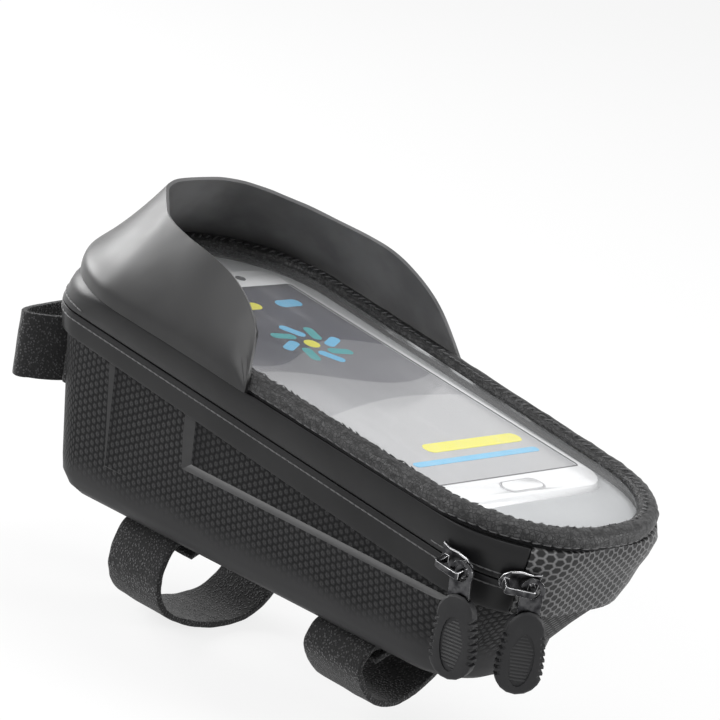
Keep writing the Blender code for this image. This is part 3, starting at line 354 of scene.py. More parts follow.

# %% [markdown]
# ## Woven straps, tape and thread
#
# Hook strap is a weave covered by thousands of tiny stiff loops, so it is dull and dark and looks
# like fine gravel. Wherever a loop catches the light, a pale speck is painted on as a highlight. A
# fine cell pattern gives the specks and noise breaks them up. The zip tape is a finer, flatter weave
# with fainter painted specks, and thread is a tiny twisted rope.


# %% Woven materials
def woven(name, dark, light, pitch, depth, sheen):
    material, tree, shader = blank(name, dark, 0.85, Sheen_Weight=sheen, Sheen_Roughness=0.5,
                                   Specular_IOR_Level=0.25)
    point = object_point(tree)
    loops = node(tree, "ShaderNodeTexVoronoi", None,
                 {"Vector": point, "Scale": 1 / pitch, "Randomness": 0.9})
    speck = ramp(tree, loops.outputs["Distance"], 0.62, 0.05)
    fuzz = noise(tree, point, 0.6 / pitch, 4, 0.7)
    height = math_node(tree, "MULTIPLY", speck, math_node(tree, "ADD", fuzz, 0.25))
    # The loop tops are painted lighter, a painted highlight.
    vary_colour(tree, shader, ramp(tree, height, 0.22, 0.62), dark, light)
    bump(tree, shader, height, depth)
    bump(tree, shader, noise(tree, point, 120, 2), 0.3 * MM, 0.4)
    return material


STRAP_CLOTH = woven("hook strap cloth", (0.010, 0.010, 0.0105), (0.055, 0.055, 0.057),
                    0.80 * MM, 0.32 * MM, 0.2)
TAPE_CLOTH = woven("zip tape cloth", (0.005, 0.005, 0.006), (0.016, 0.016, 0.017),
                   0.5 * MM, 0.08 * MM, 0.1)
LINING, tree, shader = blank("grey lining", (0.42, 0.43, 0.44), 0.75)
bump(tree, shader, noise(tree, object_point(tree), 900, 3), 0.05 * MM)
vary_colour(tree, shader, noise(tree, object_point(tree), 60, 3),
            (0.40, 0.41, 0.42), (0.50, 0.51, 0.52))
THREAD, tree, shader = blank("dark grey thread", (0.03, 0.03, 0.031), 0.55, Sheen_Weight=0.3)
bump(tree, shader, noise(tree, object_point(tree), 2500, 2), 0.06 * MM)
vary_colour(tree, shader, noise(tree, object_point(tree), 700, 2),
            (0.030, 0.030, 0.031), (0.085, 0.085, 0.088))
print("cloth materials", [m.name for m in (STRAP_CLOTH, TAPE_CLOTH, LINING, THREAD)])

# %% [markdown]
# ## Metal, rubber, nylon and glossy plastic
#
# The sliders and links are plated dark, and their edges get a brighter copy of the metal as a painted
# highlight. The grips are matt moulded rubber; their ribs are painted lighter on top and darker in the
# grooves, painted highlight and shade. The phone is white gloss, which needs only a faint unevenness
# to look real.

# %% Hard materials
GUNMETAL, tree, shader = blank("gunmetal plate", (0.05, 0.05, 0.052), 0.3, Metallic=1.0)
cloudy = noise(tree, object_point(tree), 420, 4)
vary_colour(tree, shader, ramp(tree, cloudy, 0.35, 0.7), (0.022, 0.022, 0.024), (0.085, 0.085, 0.088))
vary_roughness(tree, shader, cloudy, 0.22, 0.40)
bump(tree, shader, noise(tree, object_point(tree), 900, 3), 0.03 * MM)

# A brighter copy of the metal: on the sliders' and links' edges it is a painted highlight, and it also
# makes the rim round the home key.
BRIGHT_METAL, tree, shader = blank("rubbed bright metal", (0.55, 0.55, 0.56), 0.22, Metallic=1.0)
vary_roughness(tree, shader, noise(tree, object_point(tree), 700, 3), 0.15, 0.32)
bump(tree, shader, noise(tree, object_point(tree), 1100, 3), 0.02 * MM)

RUBBER, tree, shader = blank("moulded rubber", (0.010, 0.010, 0.011), 0.5, Specular_IOR_Level=0.3)
vary_colour(tree, shader, noise(tree, object_point(tree), 260, 4),
            (0.008, 0.008, 0.009), (0.016, 0.016, 0.017))
bump(tree, shader, noise(tree, object_point(tree), 3000, 2), 0.03 * MM)

RIBBED_RUBBER, tree, shader = blank("ribbed rubber", (0.014, 0.014, 0.015), 0.5, Specular_IOR_Level=0.35)
RIB_PITCH = 1.0 * MM
WAVE_AT_SCALE_ONE = 0.314
wave = node(tree, "ShaderNodeTexWave", {"bands_direction": "Z"},
            {"Vector": object_point(tree), "Scale": WAVE_AT_SCALE_ONE / RIB_PITCH,
             "Distortion": 0.3, "Detail": 0.0})
ribs = wave.outputs["Fac"]
# The rib tops are painted lighter and the grooves darker, painted highlight and shade.
vary_colour(tree, shader, ribs, (0.008, 0.008, 0.009), (0.030, 0.030, 0.031))
bump(tree, shader, ribs, 0.25 * MM)

NYLON, tree, shader = blank("zip coil nylon", (0.012, 0.012, 0.013), 0.4)
vary_colour(tree, shader, noise(tree, object_point(tree), 600, 2),
            (0.008, 0.008, 0.009), (0.02, 0.02, 0.021))
bump(tree, shader, noise(tree, object_point(tree), 1800, 2), 0.03 * MM)

WHITE_GLOSS, tree, shader = blank("white gloss phone", (0.83, 0.84, 0.85), 0.18, Coat_Weight=0.4)
vary_colour(tree, shader, noise(tree, object_point(tree), 40, 2),
            (0.81, 0.82, 0.83), (0.86, 0.86, 0.87))
bump(tree, shader, noise(tree, object_point(tree), 120, 2), 0.02 * MM)

DARK_GLASS, tree, shader = blank("dark camera glass", (0.008, 0.008, 0.012), 0.08)
vary_colour(tree, shader, noise(tree, object_point(tree), 300, 2),
            (0.006, 0.006, 0.010), (0.016, 0.016, 0.022))
HARD_MATERIALS = (GUNMETAL, BRIGHT_METAL, RUBBER, RIBBED_RUBBER, NYLON, WHITE_GLOSS, DARK_GLASS)
print("hard materials", [m.name for m in HARD_MATERIALS])

# %% [markdown]
# ## The clear window
#
# The window is a thin flexible film. A transmitting shader would bend light through a solid slab,
# and the picture below would darken. A film that thin only lets light straight through and
# reflects a little, so the material is mostly see-through, with a gloss that grows at flat angles.
# Its near-white colour also shows more at flat angles, a painted glare of the pale surround. Beside
# the phone the film is bent down to its seam, and there its long creases show more of that white,
# a painted highlight.

# %% Film material
FILM, tree, shader = blank("clear window film", (0.92, 0.93, 0.94), 0.07)
stretched = node(tree, "ShaderNodeMapping", None,
                 {"Vector": object_point(tree), "Scale": (300.0, 26.0, 60.0)})
point = stretched.outputs[0]
creases = ramp(tree, noise(tree, point, 1.0, 3, 0.6), 0.52, 0.72)
bump(tree, shader, creases, 0.20 * MM, 0.5)
bump(tree, shader, noise(tree, object_point(tree), 30, 2), 0.5 * MM, 0.3)
facing = node(tree, "ShaderNodeLayerWeight", None, {"Blend": 0.25}).outputs["Facing"]
# The film's near-white colour shows more at flat angles and, beside the phone, along the creases: a
# painted glare.
painted_glare = math_node(tree, "ADD", math_node(tree, "MULTIPLY", facing, 0.16), 0.015)
parts = node(tree, "ShaderNodeSeparateXYZ", None, {0: object_point(tree)})
sideways = math_node(tree, "ABSOLUTE", parts.outputs[0])
past_phone = ramp(tree, sideways, 33.6 * MM, 34.4 * MM)
beside_phone = math_node(tree, "ADD", math_node(tree, "MULTIPLY", past_phone, 0.9), 0.04)
painted_glare = math_node(tree, "ADD", painted_glare, math_node(tree, "MULTIPLY", creases, beside_phone), True)
tree.links.new(painted_glare, shader.inputs["Alpha"])
print("film", FILM.name)

# %% [markdown]
# ## The phone's picture
#
# The screen shows a made-up picture: a dark slate sky over pale grey hills. It is drawn by sums on
# the point's own place on the bag. The bright shapes in front of it are thin plates, added later on.

# %% Screen material
SCREEN, tree, shader = blank("phone screen picture", (0.03, 0.03, 0.05), 0.14)
parts = node(tree, "ShaderNodeSeparateXYZ", None, {0: object_point(tree)})
across = math_node(tree, "MULTIPLY", parts.outputs[0], 1000)
along = math_node(tree, "MULTIPLY", parts.outputs[1], 1000)


def hill(height, steepness, swing, phase):
    """1 below one hill's outline and 0 above it."""
    angle = math_node(tree, "ADD", math_node(tree, "MULTIPLY", across, steepness), phase)
    wave = math_node(tree, "SINE", angle)
    line = math_node(tree, "ADD", math_node(tree, "MULTIPLY", wave, swing), height)
    return ramp(tree, math_node(tree, "SUBTRACT", line, along), 0.0, 1.2)


far_hill = math_node(tree, "MULTIPLY", hill(24, 0.09, 6, 0.4), 0.30)
middle_hill = math_node(tree, "MULTIPLY", hill(8, 0.07, 7, 3.6), 0.35)
near_hill = math_node(tree, "MULTIPLY", hill(-12, 0.05, 5, 1.2), 0.35)
hills = math_node(tree, "ADD", math_node(tree, "ADD", far_hill, middle_hill), near_hill)
drift = ramp(tree, noise(tree, object_point(tree), 42, 3), 0.45, 0.75)
clouds = math_node(tree, "MULTIPLY", drift, 0.10)
vary_colour(tree, shader, math_node(tree, "ADD", hills, clouds, True),
            (0.020, 0.019, 0.040), (0.40, 0.40, 0.41))
GLOWS = {}
for name, colour in (("yellow", (0.86, 0.80, 0.03)), ("teal", (0.02, 0.36, 0.38)),
                     ("sky", (0.12, 0.50, 0.80))):
    GLOWS[name], tree, shader = blank(f"screen {name}", colour, 0.2)
    shade = tuple(0.85 * c for c in colour)
    vary_colour(tree, shader, noise(tree, object_point(tree), 90, 2), shade, colour)
print("screen colours", list(GLOWS))

# %% [markdown]
# ## Dressing the solid pieces
#
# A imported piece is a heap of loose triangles. A copy is welded into one skin, its triangles are
# joined back into four-sided faces where they lie flat, and its hard edges are rounded with a
# bevel, because every real edge catches a line of light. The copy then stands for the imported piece.

# %% The dressing helper
WELD_GAP = 1e-6
SHARP_EDGE = math.radians(38)
EDGE_STEPS = 2


def dress(part, title, material, edge=0.0, smooth=40, refine=0, ripple=0.0,
          ripple_size=10 * MM, ripple_level=0.5, edge_material=None, trim=0.0):
    """A welded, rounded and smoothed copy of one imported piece, riding where that piece rides."""
    source = frame["nodes"][part]
    obj = bpy.data.objects.new(title, source.data.copy())
    bpy.context.scene.collection.objects.link(obj)
    edit_all(obj)
    bpy.ops.mesh.remove_doubles(threshold=WELD_GAP)
    bpy.ops.mesh.tris_convert_to_quads(face_threshold=math.radians(8), shape_threshold=math.radians(60))
    leave_edit()
    obj.data.materials.clear()
    obj.data.materials.append(material)
    if trim:
        slimmer = obj.modifiers.new("running room", "DISPLACE")
        slimmer.strength = -trim
        slimmer.mid_level = 0
    if edge:
        rounding = obj.modifiers.new("rounded edges", "BEVEL")
        rounding.width = edge
        rounding.segments = EDGE_STEPS
        rounding.limit_method = "ANGLE"
        rounding.angle_limit = SHARP_EDGE
        if edge_material:
            obj.data.materials.append(edge_material)
            rounding.material = 1
    if refine:
        finer = obj.modifiers.new("finer skin", "SUBSURF")
        finer.levels = refine
        finer.render_levels = refine
    if ripple:
        waves = bpy.data.textures.new(title + " waves", "CLOUDS")
        waves.noise_scale = ripple_size
        uneven = obj.modifiers.new("uneven cloth", "DISPLACE")
        uneven.texture = waves
        uneven.strength = ripple
        uneven.mid_level = ripple_level
    apply_modifiers(obj)
    pick_only(obj)
    bpy.ops.object.shade_smooth_by_angle(angle=math.radians(smooth))
    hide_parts(part)
    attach(obj, source["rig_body"])
    print(title, len(obj.data.polygons), "faces")
    return obj


# %% [markdown]
# The flat map follows the bag's plan: a straight nose, a round corner, a straight side, a round
# corner and a straight head, each unrolled after the one before it.

# %% Flat map that runs up the wall and round the bag
NOSE_CORNER = Vector((16.0, -66.0)) * MM
HEAD_CORNER = Vector((28.0, 78.0)) * MM
CORNER_SWEEP = 20.0 * MM


def round_distance(x, y):
    """Distance round the bag's plan from the middle of the nose, the same on both sides."""
    x = abs(x)
    if y < NOSE_CORNER.y:
        turn = math.atan2(max(x - NOSE_CORNER.x, 0.0), NOSE_CORNER.y - y)
        return min(x, NOSE_CORNER.x) + CORNER_SWEEP * turn
    start = NOSE_CORNER.x + CORNER_SWEEP * math.pi / 2
    if y < HEAD_CORNER.y:
        return start + y - NOSE_CORNER.y
    turn = math.atan2(y - HEAD_CORNER.y, max(x - HEAD_CORNER.x, 0.0))
    beyond = start + HEAD_CORNER.y - NOSE_CORNER.y + CORNER_SWEEP * turn
    return beyond + max(HEAD_CORNER.x - x, 0.0)


def map_grain(obj):
    """Adds the flat map, in metres, to each corner of each face, without a jump inside a face."""
    mesh = obj.data
    layer = mesh.uv_layers.new(name=GRAIN_UV)
    halfway = round_distance(0.0, HEAD_CORNER.y + CORNER_SWEEP)
    for face in mesh.polygons:
        side = 1 if face.center.x > 0 else -1
        at_head = face.center.y > 0
        for loop in face.loop_indices:
            p = mesh.vertices[mesh.loops[loop].vertex_index].co
            run = round_distance(p.x, p.y)
            if p.x * side < 0:
                run = 2 * halfway - run if at_head else -run
            layer.data[loop].uv = (p.z, side * run)


# %% [markdown]
# The tub and the nose keep their pressed shape and only get rounded edges and their flat map. The
# cloth pieces get finer faces, so that the binding can be uneven and the visor's curve runs smooth.

# %% Dress the tub, the nose and the bands
tub = dress("lower_shell", "moulded_tub", TUB_SKIN, edge=0.5 * MM, smooth=35)
nose = dress("nose_panel", "nose_end_panel", NOSE_SKIN, edge=0.3 * MM, smooth=50)
for grained in (tub, nose):
    map_grain(grained)
upper_band = dress("upper_band", "lid_side_band", BAND_CLOTH, edge=0.35 * MM,
                   smooth=60, refine=1)
lower_band = dress("lower_band", "tub_rim_band", BAND_CLOTH, edge=0.35 * MM,
                   smooth=60, refine=1)
binding = dress("lid_binding", "round_lid_binding", BINDING_CLOTH, refine=3,
                smooth=180, ripple=0.7 * MM, ripple_size=2.5 * MM, ripple_level=0.05)
visor = dress("sun_visor", "curved_sun_visor", VISOR_CLOTH, edge=0.12 * MM,
              smooth=70, refine=2, ripple=0.4 * MM, ripple_size=22 * MM)

# %% [markdown]
# The press leaves a smooth ledge where each side panel steps inwards. Its faces are found by their
# place on the side walls and by their slant, and they are painted a lighter grey, a painted highlight
# where the ledges face the light. The visor is coated outside only: inside it shows the
# duller cloth backing, and its cut rim is paler. Outside faces look away from the lid's middle line,
# inside faces look towards it, and rim faces do neither. The lid slopes up from the nose to the head,
# and its four numbers are in millimetres.

# %% Ledges of the tub, backing and rim of the visor
LID_LOW = 54.0
LID_RISE = 19.0
LID_RUN = 191.5
LID_START = 95.0


def lid_height(y):
    """Height of the lid's sloping plane, through the middle of the binding."""
    return (LID_LOW + LID_RISE * (y / MM + LID_START) / LID_RUN) * MM


def height_over_lid(place):
    return place.z - lid_height(place.y)


# Ledge faces that look up or towards the nose get the lighter ledge colour, a painted highlight.
tub.data.materials.append(LEDGE_HIGHLIGHT_SKIN)
for face in tub.data.polygons:
    centre, normal = face.center, face.normal
    on_wall = abs(centre.x) > 22 * MM and 10 * MM < centre.z < 52 * MM and abs(normal.x) > 0.15
    along_side = -88 * MM < centre.y < 70 * MM
    looks_up = normal.z > 0.3
    looks_to_nose = normal.y < -0.45 and centre.y > 20 * MM
    if on_wall and along_side and (looks_up or looks_to_nose):
        face.material_index = 1
visor.data.materials.append(CUT_EDGE)
visor.data.materials.append(VISOR_BACKING)
for face in visor.data.polygons:
    outwards = Vector((face.center.x, max(face.center.y - 60 * MM, 0.0), 0.0)).normalized()
    lean = face.normal.dot(outwards)
    if lean < -0.35:
        face.material_index = 2
    elif lean < 0.45 and face.area < 3 * MM ** 2 and height_over_lid(face.center) > 3.5 * MM:
        face.material_index = 1
print("ledge faces", sum(1 for face in tub.data.polygons if face.material_index == 1))
print("visor rim faces", sum(1 for face in visor.data.polygons if face.material_index == 1))
print("visor backing faces", sum(1 for face in visor.data.polygons if face.material_index == 2))

# %% [markdown]
# The lining, the seams and the fold under the binding all follow the bag's own outline at one
# level: round corners at the nose and the head, joined by straight lines. An outline is given by its
# half widths at the head and the nose, its two ends and its two corner radii, in millimetres.

# %% The bag's outline at one level
INSIDE_BINDING = (42.2, 34.8, 94.9, -93.4, 34.4, 32.7)
UNDER_BINDING = (44.6, 37.0, 97.2, -95.4, 34.6, 34.7)
OUTSIDE_BINDING = (46.4, 39.0, 99.1, -97.6, 36.4, 36.9)
BESIDE_ZIP = (44.4, 34.9, 95.3, -93.0, 17, 24.4)
CORNER_STEPS = 24


def outline(line, pitch, depth):
    """Evenly spaced points round the lid, clockwise from the nose, a given depth under its plane."""
    half_head, half_nose, head_y, nose_y, head_r, nose_r = [length * MM for length in line]
    taper = math.atan2(half_head - half_nose, head_y - nose_y)
    middles = []
    for y, radius in ((nose_y + nose_r, nose_r), (head_y - head_r, head_r)):
        side = half_nose + (y - nose_y) * math.tan(taper)
        middles.append(Vector((-side + radius / math.cos(taper), y)))
    corners = [Vector((0, nose_y))]
    for k in range(CORNER_STEPS + 1):
        turn = (math.pi / 2 - taper) * k / CORNER_STEPS
        corners.append(middles[0] + nose_r * Vector((-math.sin(turn), -math.cos(turn))))
    for k in range(CORNER_STEPS + 1):
        turn = -taper + (math.pi / 2 + taper) * k / CORNER_STEPS
        corners.append(middles[1] + head_r * Vector((-math.cos(turn), math.sin(turn))))
    corners.append(Vector((0, head_y)))
    corners += [Vector((-p.x, p.y)) for p in corners[-2:0:-1]]
    return walk([Vector((p.x, p.y, lid_height(p.y) - depth(p.y))) for p in corners], pitch, True)


def walk(points, pitch, closed=False):
    """Points at an even pitch along a polyline."""
    points = points + points[:1] if closed else points
    total = sum((b - a).length for a, b in zip(points, points[1:]))
    count = max(round(total / pitch), 1)
    found, run, target = [], 0.0, 0.0
    for a, b in zip(points, points[1:]):
        length = (b - a).length
        while len(found) < count and target <= run + length:
            found.append(a.lerp(b, (target - run) / max(length, 1e-9)))
            target += total / count
        run += length
    return found


# %% [markdown]
# The zip's tape and coil and the film stay thin and plain. The lining below the phone is padding.

# %% Dress the zip, the window and the padding
for level in ("upper", "lower"):
    dress(f"zip_tape_{level}", f"woven_zip_tape_{level}", TAPE_CLOTH, smooth=60)
    dress(f"zip_coil_{level}", f"nylon_zip_coil_{level}", NYLON, smooth=80)
dress("window_film", "clear_window_film", FILM, smooth=60)
pad = dress("phone_pad", "grey_phone_lining", LINING, edge=0.4 * MM)

# %% [markdown]
# The phone is a moulded white case with a glass screen and one key. Small bevels give it its lines
# of light.

# %% Dress the phone
phone = dress("phone_body", "white_phone_body", WHITE_GLOSS, edge=0.12 * MM, smooth=50)
dress("phone_screen", "lit_phone_screen", SCREEN)
dress("phone_home_button", "phone_home_key", WHITE_GLOSS, edge=0.15 * MM)

# %% [markdown]
# The pocket's lining is drawn tight round the phone, a little below its face. It starts as a flat
# disc. Its rim is pushed out to the bag's outline, it is given its thickness, and the dressed phone
# cuts the hole that it stands in.

# %% Lining round the phone
lining_rim = outline(INSIDE_BINDING, 5 * MM, lambda y: 3.3 * MM)
bpy.ops.mesh.primitive_circle_add(vertices=len(lining_rim), radius=1, fill_type="NGON")
shelf = bpy.context.object
shelf.name = "pocket_lining"
for vertex, place in zip(shelf.data.vertices, lining_rim):
    vertex.co = place
edit_all(shelf)
bpy.ops.mesh.extrude_region_move(TRANSFORM_OT_translate={"value": (0, 0, -0.6 * MM)})
bpy.ops.mesh.select_all(action="SELECT")
bpy.ops.mesh.normals_make_consistent(inside=False)
leave_edit()
opening = shelf.modifiers.new("phone opening", "BOOLEAN")
opening.object = phone
opening.solver = "EXACT"
rounding = shelf.modifiers.new("soft edges", "BEVEL")
rounding.width = 0.15 * MM
apply_modifiers(shelf)
shelf.data.materials.clear()
shelf.data.materials.append(LINING)
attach(shelf, "lid")
print("pocket lining", len(shelf.data.polygons), "faces")

# %% [markdown]
# The straps and their sewn bridges are thick woven hook tape. Finer faces and a small unevenness
# take the machined look off their flat sides and cut edges.

# %% Dress the straps
straps = []
for part, title in (("bottom_strap_rear", "rear_tube_strap"), ("bottom_strap_front", "front_tube_strap"),
                    ("head_strap", "head_tube_strap"), ("head_strap_patch", "sewn_head_patch"),
                    ("strap_keeper_rear", "rear_strap_bridge"),
                    ("strap_keeper_front", "front_strap_bridge")):
    straps.append(dress(part, title, STRAP_CLOTH, edge=0.45 * MM, smooth=70, refine=2,
                        ripple=0.5 * MM, ripple_size=5 * MM))

# %% [markdown]
# The sliders and links are stamped and bent metal, with a brighter metal on their edges as a painted
# highlight. Both are drawn a little slimmer than the imported solids, so that a link keeps clear of
# its slider's corner when the pull swings.

# %% Dress the zip pulls
RUNNING_ROOM = 0.16 * MM
grips = {}
for end in ("rear", "front"):
    dress(f"slider_{end}", f"zip_slider_{end}", GUNMETAL, edge=0.2 * MM,
          edge_material=BRIGHT_METAL, trim=RUNNING_ROOM)
    dress(f"pull_link_{end}", f"flat_pull_link_{end}", GUNMETAL, edge=0.16 * MM,
          edge_material=BRIGHT_METAL, trim=RUNNING_ROOM)
    grips[end] = dress(f"pull_grip_{end}", f"rubber_pull_grip_{end}", RUBBER,
                       edge=0.22 * MM)

# %% [markdown]
# Each grip has an oval recess that is finely ribbed for the thumb. Its floor is found by its place:
# a large face that looks outwards from a little under the grip's front.


# %% Rib the recesses of the grips
def outward_faces(obj, out):
    """Faces that look along a direction, with how far out each one lies."""
    return [(face.center.dot(out), face) for face in obj.data.polygons if face.normal.dot(out) > 0.985]


OUTWARDS = {"rear": Vector((-0.973145, -0.230194, 0.0)), "front": Vector((-0.62907, -0.777349, 0.0))}
for end, out in OUTWARDS.items():
    grip = grips[end]
    grip.data.materials.append(RIBBED_RUBBER)
    found = outward_faces(grip, out)
    front_level = max(level for level, face in found)
    for level, face in found:
        if 0.3 * MM < front_level - level < 1.0 * MM and face.area > 3 * MM ** 2:
            face.material_index = 1
    print(end, "grip ribbed faces", sum(1 for face in grip.data.polygons if face.material_index == 1))

# %% [markdown]
# ## Seams
#
# Every sewn line on the real bag is a row of small thread grains. One grain is shaped from a cube,
# then copied along the outline. Each grain is laid on the cloth below it by asking the cloth for
# its nearest point, and turned along the seam.

# %% One stitch and rows of it
OPEN_ROW_GAP = 12 * MM
bpy.ops.mesh.primitive_cube_add(size=1, location=(0, 0, 0))
grain = bpy.context.object
edit_all(grain)
bpy.ops.mesh.subdivide(number_cuts=1, smoothness=1.0)
bpy.ops.transform.resize(value=(1.0, 0.85, 0.85))
leave_edit()


def stitch_row(title, cloth, places, length, width, slant=0.0):
    """Lays one grain at each place on the cloth and joins them into a single piece of thread."""
    made = []
    last = len(places) - 1
    is_open = (places[0] - places[-1]).length > OPEN_ROW_GAP
    for k, place in enumerate(places):
        _, point, normal, _ = cloth.closest_point_on_mesh(place)
        before = place if is_open and k == 0 else places[k - 1]
        after = place if is_open and k == last else places[(k + 1) % len(places)]
        ahead = after - before
        side = normal.cross(ahead).normalized()
        ahead = side.cross(normal).normalized()
        turn = Matrix((ahead, side, normal)).transposed() @ Matrix.Rotation(slant, 3, "Z")
        copy = bpy.data.objects.new(title, grain.data.copy())
        size = Matrix.Diagonal((length, width, width, 1))
        copy.data.transform(Matrix.Translation(point) @ turn.to_4x4() @ size)
        bpy.context.scene.collection.objects.link(copy)
        made.append(copy)
    pick_only(made[0])
    for copy in made:
        copy.select_set(True)
    bpy.ops.object.join()
    row = bpy.context.object
    row.data.materials.clear()
    row.data.materials.append(THREAD)
    bpy.ops.object.shade_smooth()
    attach(row, cloth_body[cloth.name])
    print(title, len(places), "stitches")


cloth_body = {binding.name: "lid", upper_band.name: "lid", lower_band.name: "bag", nose.name: "bag"}
for strap in straps:
    cloth_body[strap.name] = "bag"

# %% Sew the binding and the zip's two bands
inner_edge = outline(INSIDE_BINDING, 2.6 * MM, lambda y: -3.6 * MM)
stitch_row("binding_inner_stitches", binding, inner_edge, 1.5 * MM, 0.34 * MM,
           slant=0.7)
outer_edge = outline(OUTSIDE_BINDING, 3.0 * MM, lambda y: 1.7 * MM)
stitch_row("binding_outer_stitches", binding, outer_edge, 1.6 * MM, 0.32 * MM)


def zip_depth(y):
    """Depth of the zip's opening under the lid's plane."""
    return (14.5 - 2.5 * (y / MM + LID_START) / LID_RUN) * MM


for title, cloth, step in (("upper_band_stitches", upper_band, -2.4 * MM),
                           ("lower_band_stitches", lower_band, 2.4 * MM)):
    seam = outline(BESIDE_ZIP, 2.4 * MM, lambda y: zip_depth(y) + step)
    # The bands end at the nose panel, and so do their seams.
    seam = [p for p in seam if abs(p.x) > 26 * MM or p.y > -60 * MM]
    stitch_row(title, cloth, seam, 1.7 * MM, 0.32 * MM)

# %% Sew the nose panel's two side seams, the head patch and the keepers
for name, side in (("left", -1), ("right", 1)):
    ends = [Vector((side * 25.2, -87.4, 47.5)) * MM, Vector((side * 23.4, -85.4, 31.5)) * MM]
    stitch_row(f"nose_seam_stitches_{name}", nose, walk(ends, 1.9 * MM), 1.4 * MM, 0.4 * MM)
patch, keepers = straps[3], straps[4:]
for level in (31.4, 50.4):
    ends = [Vector((-18.5, 93.5, level)) * MM, Vector((18.5, 93.5, level)) * MM]
    stitch_row(f"patch_stitches_{int(level)}", patch, walk(ends, 2.2 * MM), 1.6 * MM, 0.4 * MM)
KEEPER_CENTRES = (Vector((9.0, 54.5, 0)) * MM, Vector((0.0, -26.0, 0)) * MM)
for keeper, centre in zip(keepers, KEEPER_CENTRES):
    for name, step in (("near", -15.2), ("far", 15.2)):
        ends = [centre + Vector((side, step, -2.5)) * MM for side in (-5.0, 5.0)]
        stitch_row(f"{keeper.name}_stitches_{name}", keeper, walk(ends, 1.8 * MM), 1.3 * MM,
                   0.4 * MM)
bpy.data.objects.remove(grain)

# %% [markdown]
# Under the binding, above the band, the bag shows a thin dark line of shade. A thin dark tube along
# the same outline closes that gap, so the line under the binding is dark: painted shade.

# %% Dark tube of painted shade under the binding
GAP_SHADE_RADIUS = 0.9 * MM
gap_shade_path = outline(UNDER_BINDING, 4 * MM, lambda y: 2.75 * MM)
spine = bpy.data.curves.new("gap_shade_spine", "CURVE")
spine.dimensions = "3D"
spine.bevel_depth = GAP_SHADE_RADIUS
spine.bevel_resolution = 2
line = spine.splines.new("POLY")
line.points.add(len(gap_shade_path) - 1)
for spot, place in zip(line.points, gap_shade_path):
    spot.co = (*place, 1)
line.use_cyclic_u = True
# The dark tube is put in the gap as painted shade.
gap_shade_tube = bpy.data.objects.new("dark_gap_shade_tube", spine)
bpy.context.scene.collection.objects.link(gap_shade_tube)
pick_only(gap_shade_tube)
bpy.ops.object.convert(target="MESH")
gap_shade_tube.data.materials.append(TAPE_CLOTH)
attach(gap_shade_tube, "lid")
print("gap shade tube", len(gap_shade_tube.data.polygons), "faces")

# %% [markdown]
# ## The phone's small parts and its glowing picture
#
# The speaker slot, the sensors, the lens and the rim round the home key are thin plates with round
# corners. So are the plain shapes that glow on the screen: blank bars and a pinwheel of petals. One
# helper makes them all: a plane is stretched, its corners are rounded with a vertex bevel, it is made
# a ring with an inset where asked, and then it is pushed up into a plate.

# %% Rounded plate helper
LID_TILT = math.atan2(LID_RISE, LID_RUN)
GLASS_DEPTH = 1.7 * MM


def lid_plate(title, x, y, width, length, radius, rise, material, turn=0.0, ring=0.0,
              sink=0.05 * MM):
    """A thin plate with round corners lying on the phone's face at x and y."""
    bpy.ops.mesh.primitive_plane_add(size=1, location=(0, 0, 0))
    plate = bpy.context.object
    plate.name = title
    edit_all(plate)
    bpy.ops.transform.resize(value=(width, length, 1))
    bpy.ops.mesh.bevel(offset=radius, segments=6, affect="VERTICES")
    if ring:
        bpy.ops.mesh.inset(thickness=ring)
        bpy.ops.mesh.delete(type="FACE")
    bpy.ops.mesh.select_all(action="SELECT")
    bpy.ops.mesh.extrude_region_move(TRANSFORM_OT_translate={"value": (0, 0, rise)})
    bpy.ops.mesh.select_all(action="SELECT")
    bpy.ops.mesh.normals_make_consistent(inside=False)
    leave_edit()
    tilted = Matrix.Rotation(LID_TILT, 3, "X") @ Matrix.Rotation(turn, 3, "Z")
    plate.rotation_euler = tilted.to_euler()
    plate.location = (x, y, lid_height(y) - GLASS_DEPTH - sink)
    settle(plate)
    plate.data.materials.append(material)
    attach(plate, "lid")


# %% Speaker, sensors, lens, key rim and screen rim
SPEAKER_Y = 72.2 * MM
lid_plate("speaker_slot", 0, SPEAKER_Y, 12 * MM, 1.7 * MM, 0.8 * MM, 0.12 * MM, DARK_GLASS)
for k, (x, radius) in enumerate(((-13.5, 0.9), (10.5, 1.1), (15.5, 1.7))):
    across = 2 * radius * MM
    lid_plate(f"front_lens_{k}", x * MM, SPEAKER_Y, across, across, 0.98 * radius * MM, 0.12 * MM,
              DARK_GLASS)
lid_plate("home_key_rim", 0, -62 * MM, 16.4 * MM, 6.4 * MM, 3.0 * MM, 0.2 * MM, BRIGHT_METAL,
          ring=0.5 * MM)
lid_plate("screen_rim", 0, 5 * MM, 62.4 * MM, 123.4 * MM, 1.4 * MM, 0.1 * MM, DARK_GLASS,
          ring=0.5 * MM)
print("lenses and rims laid on the phone's face")

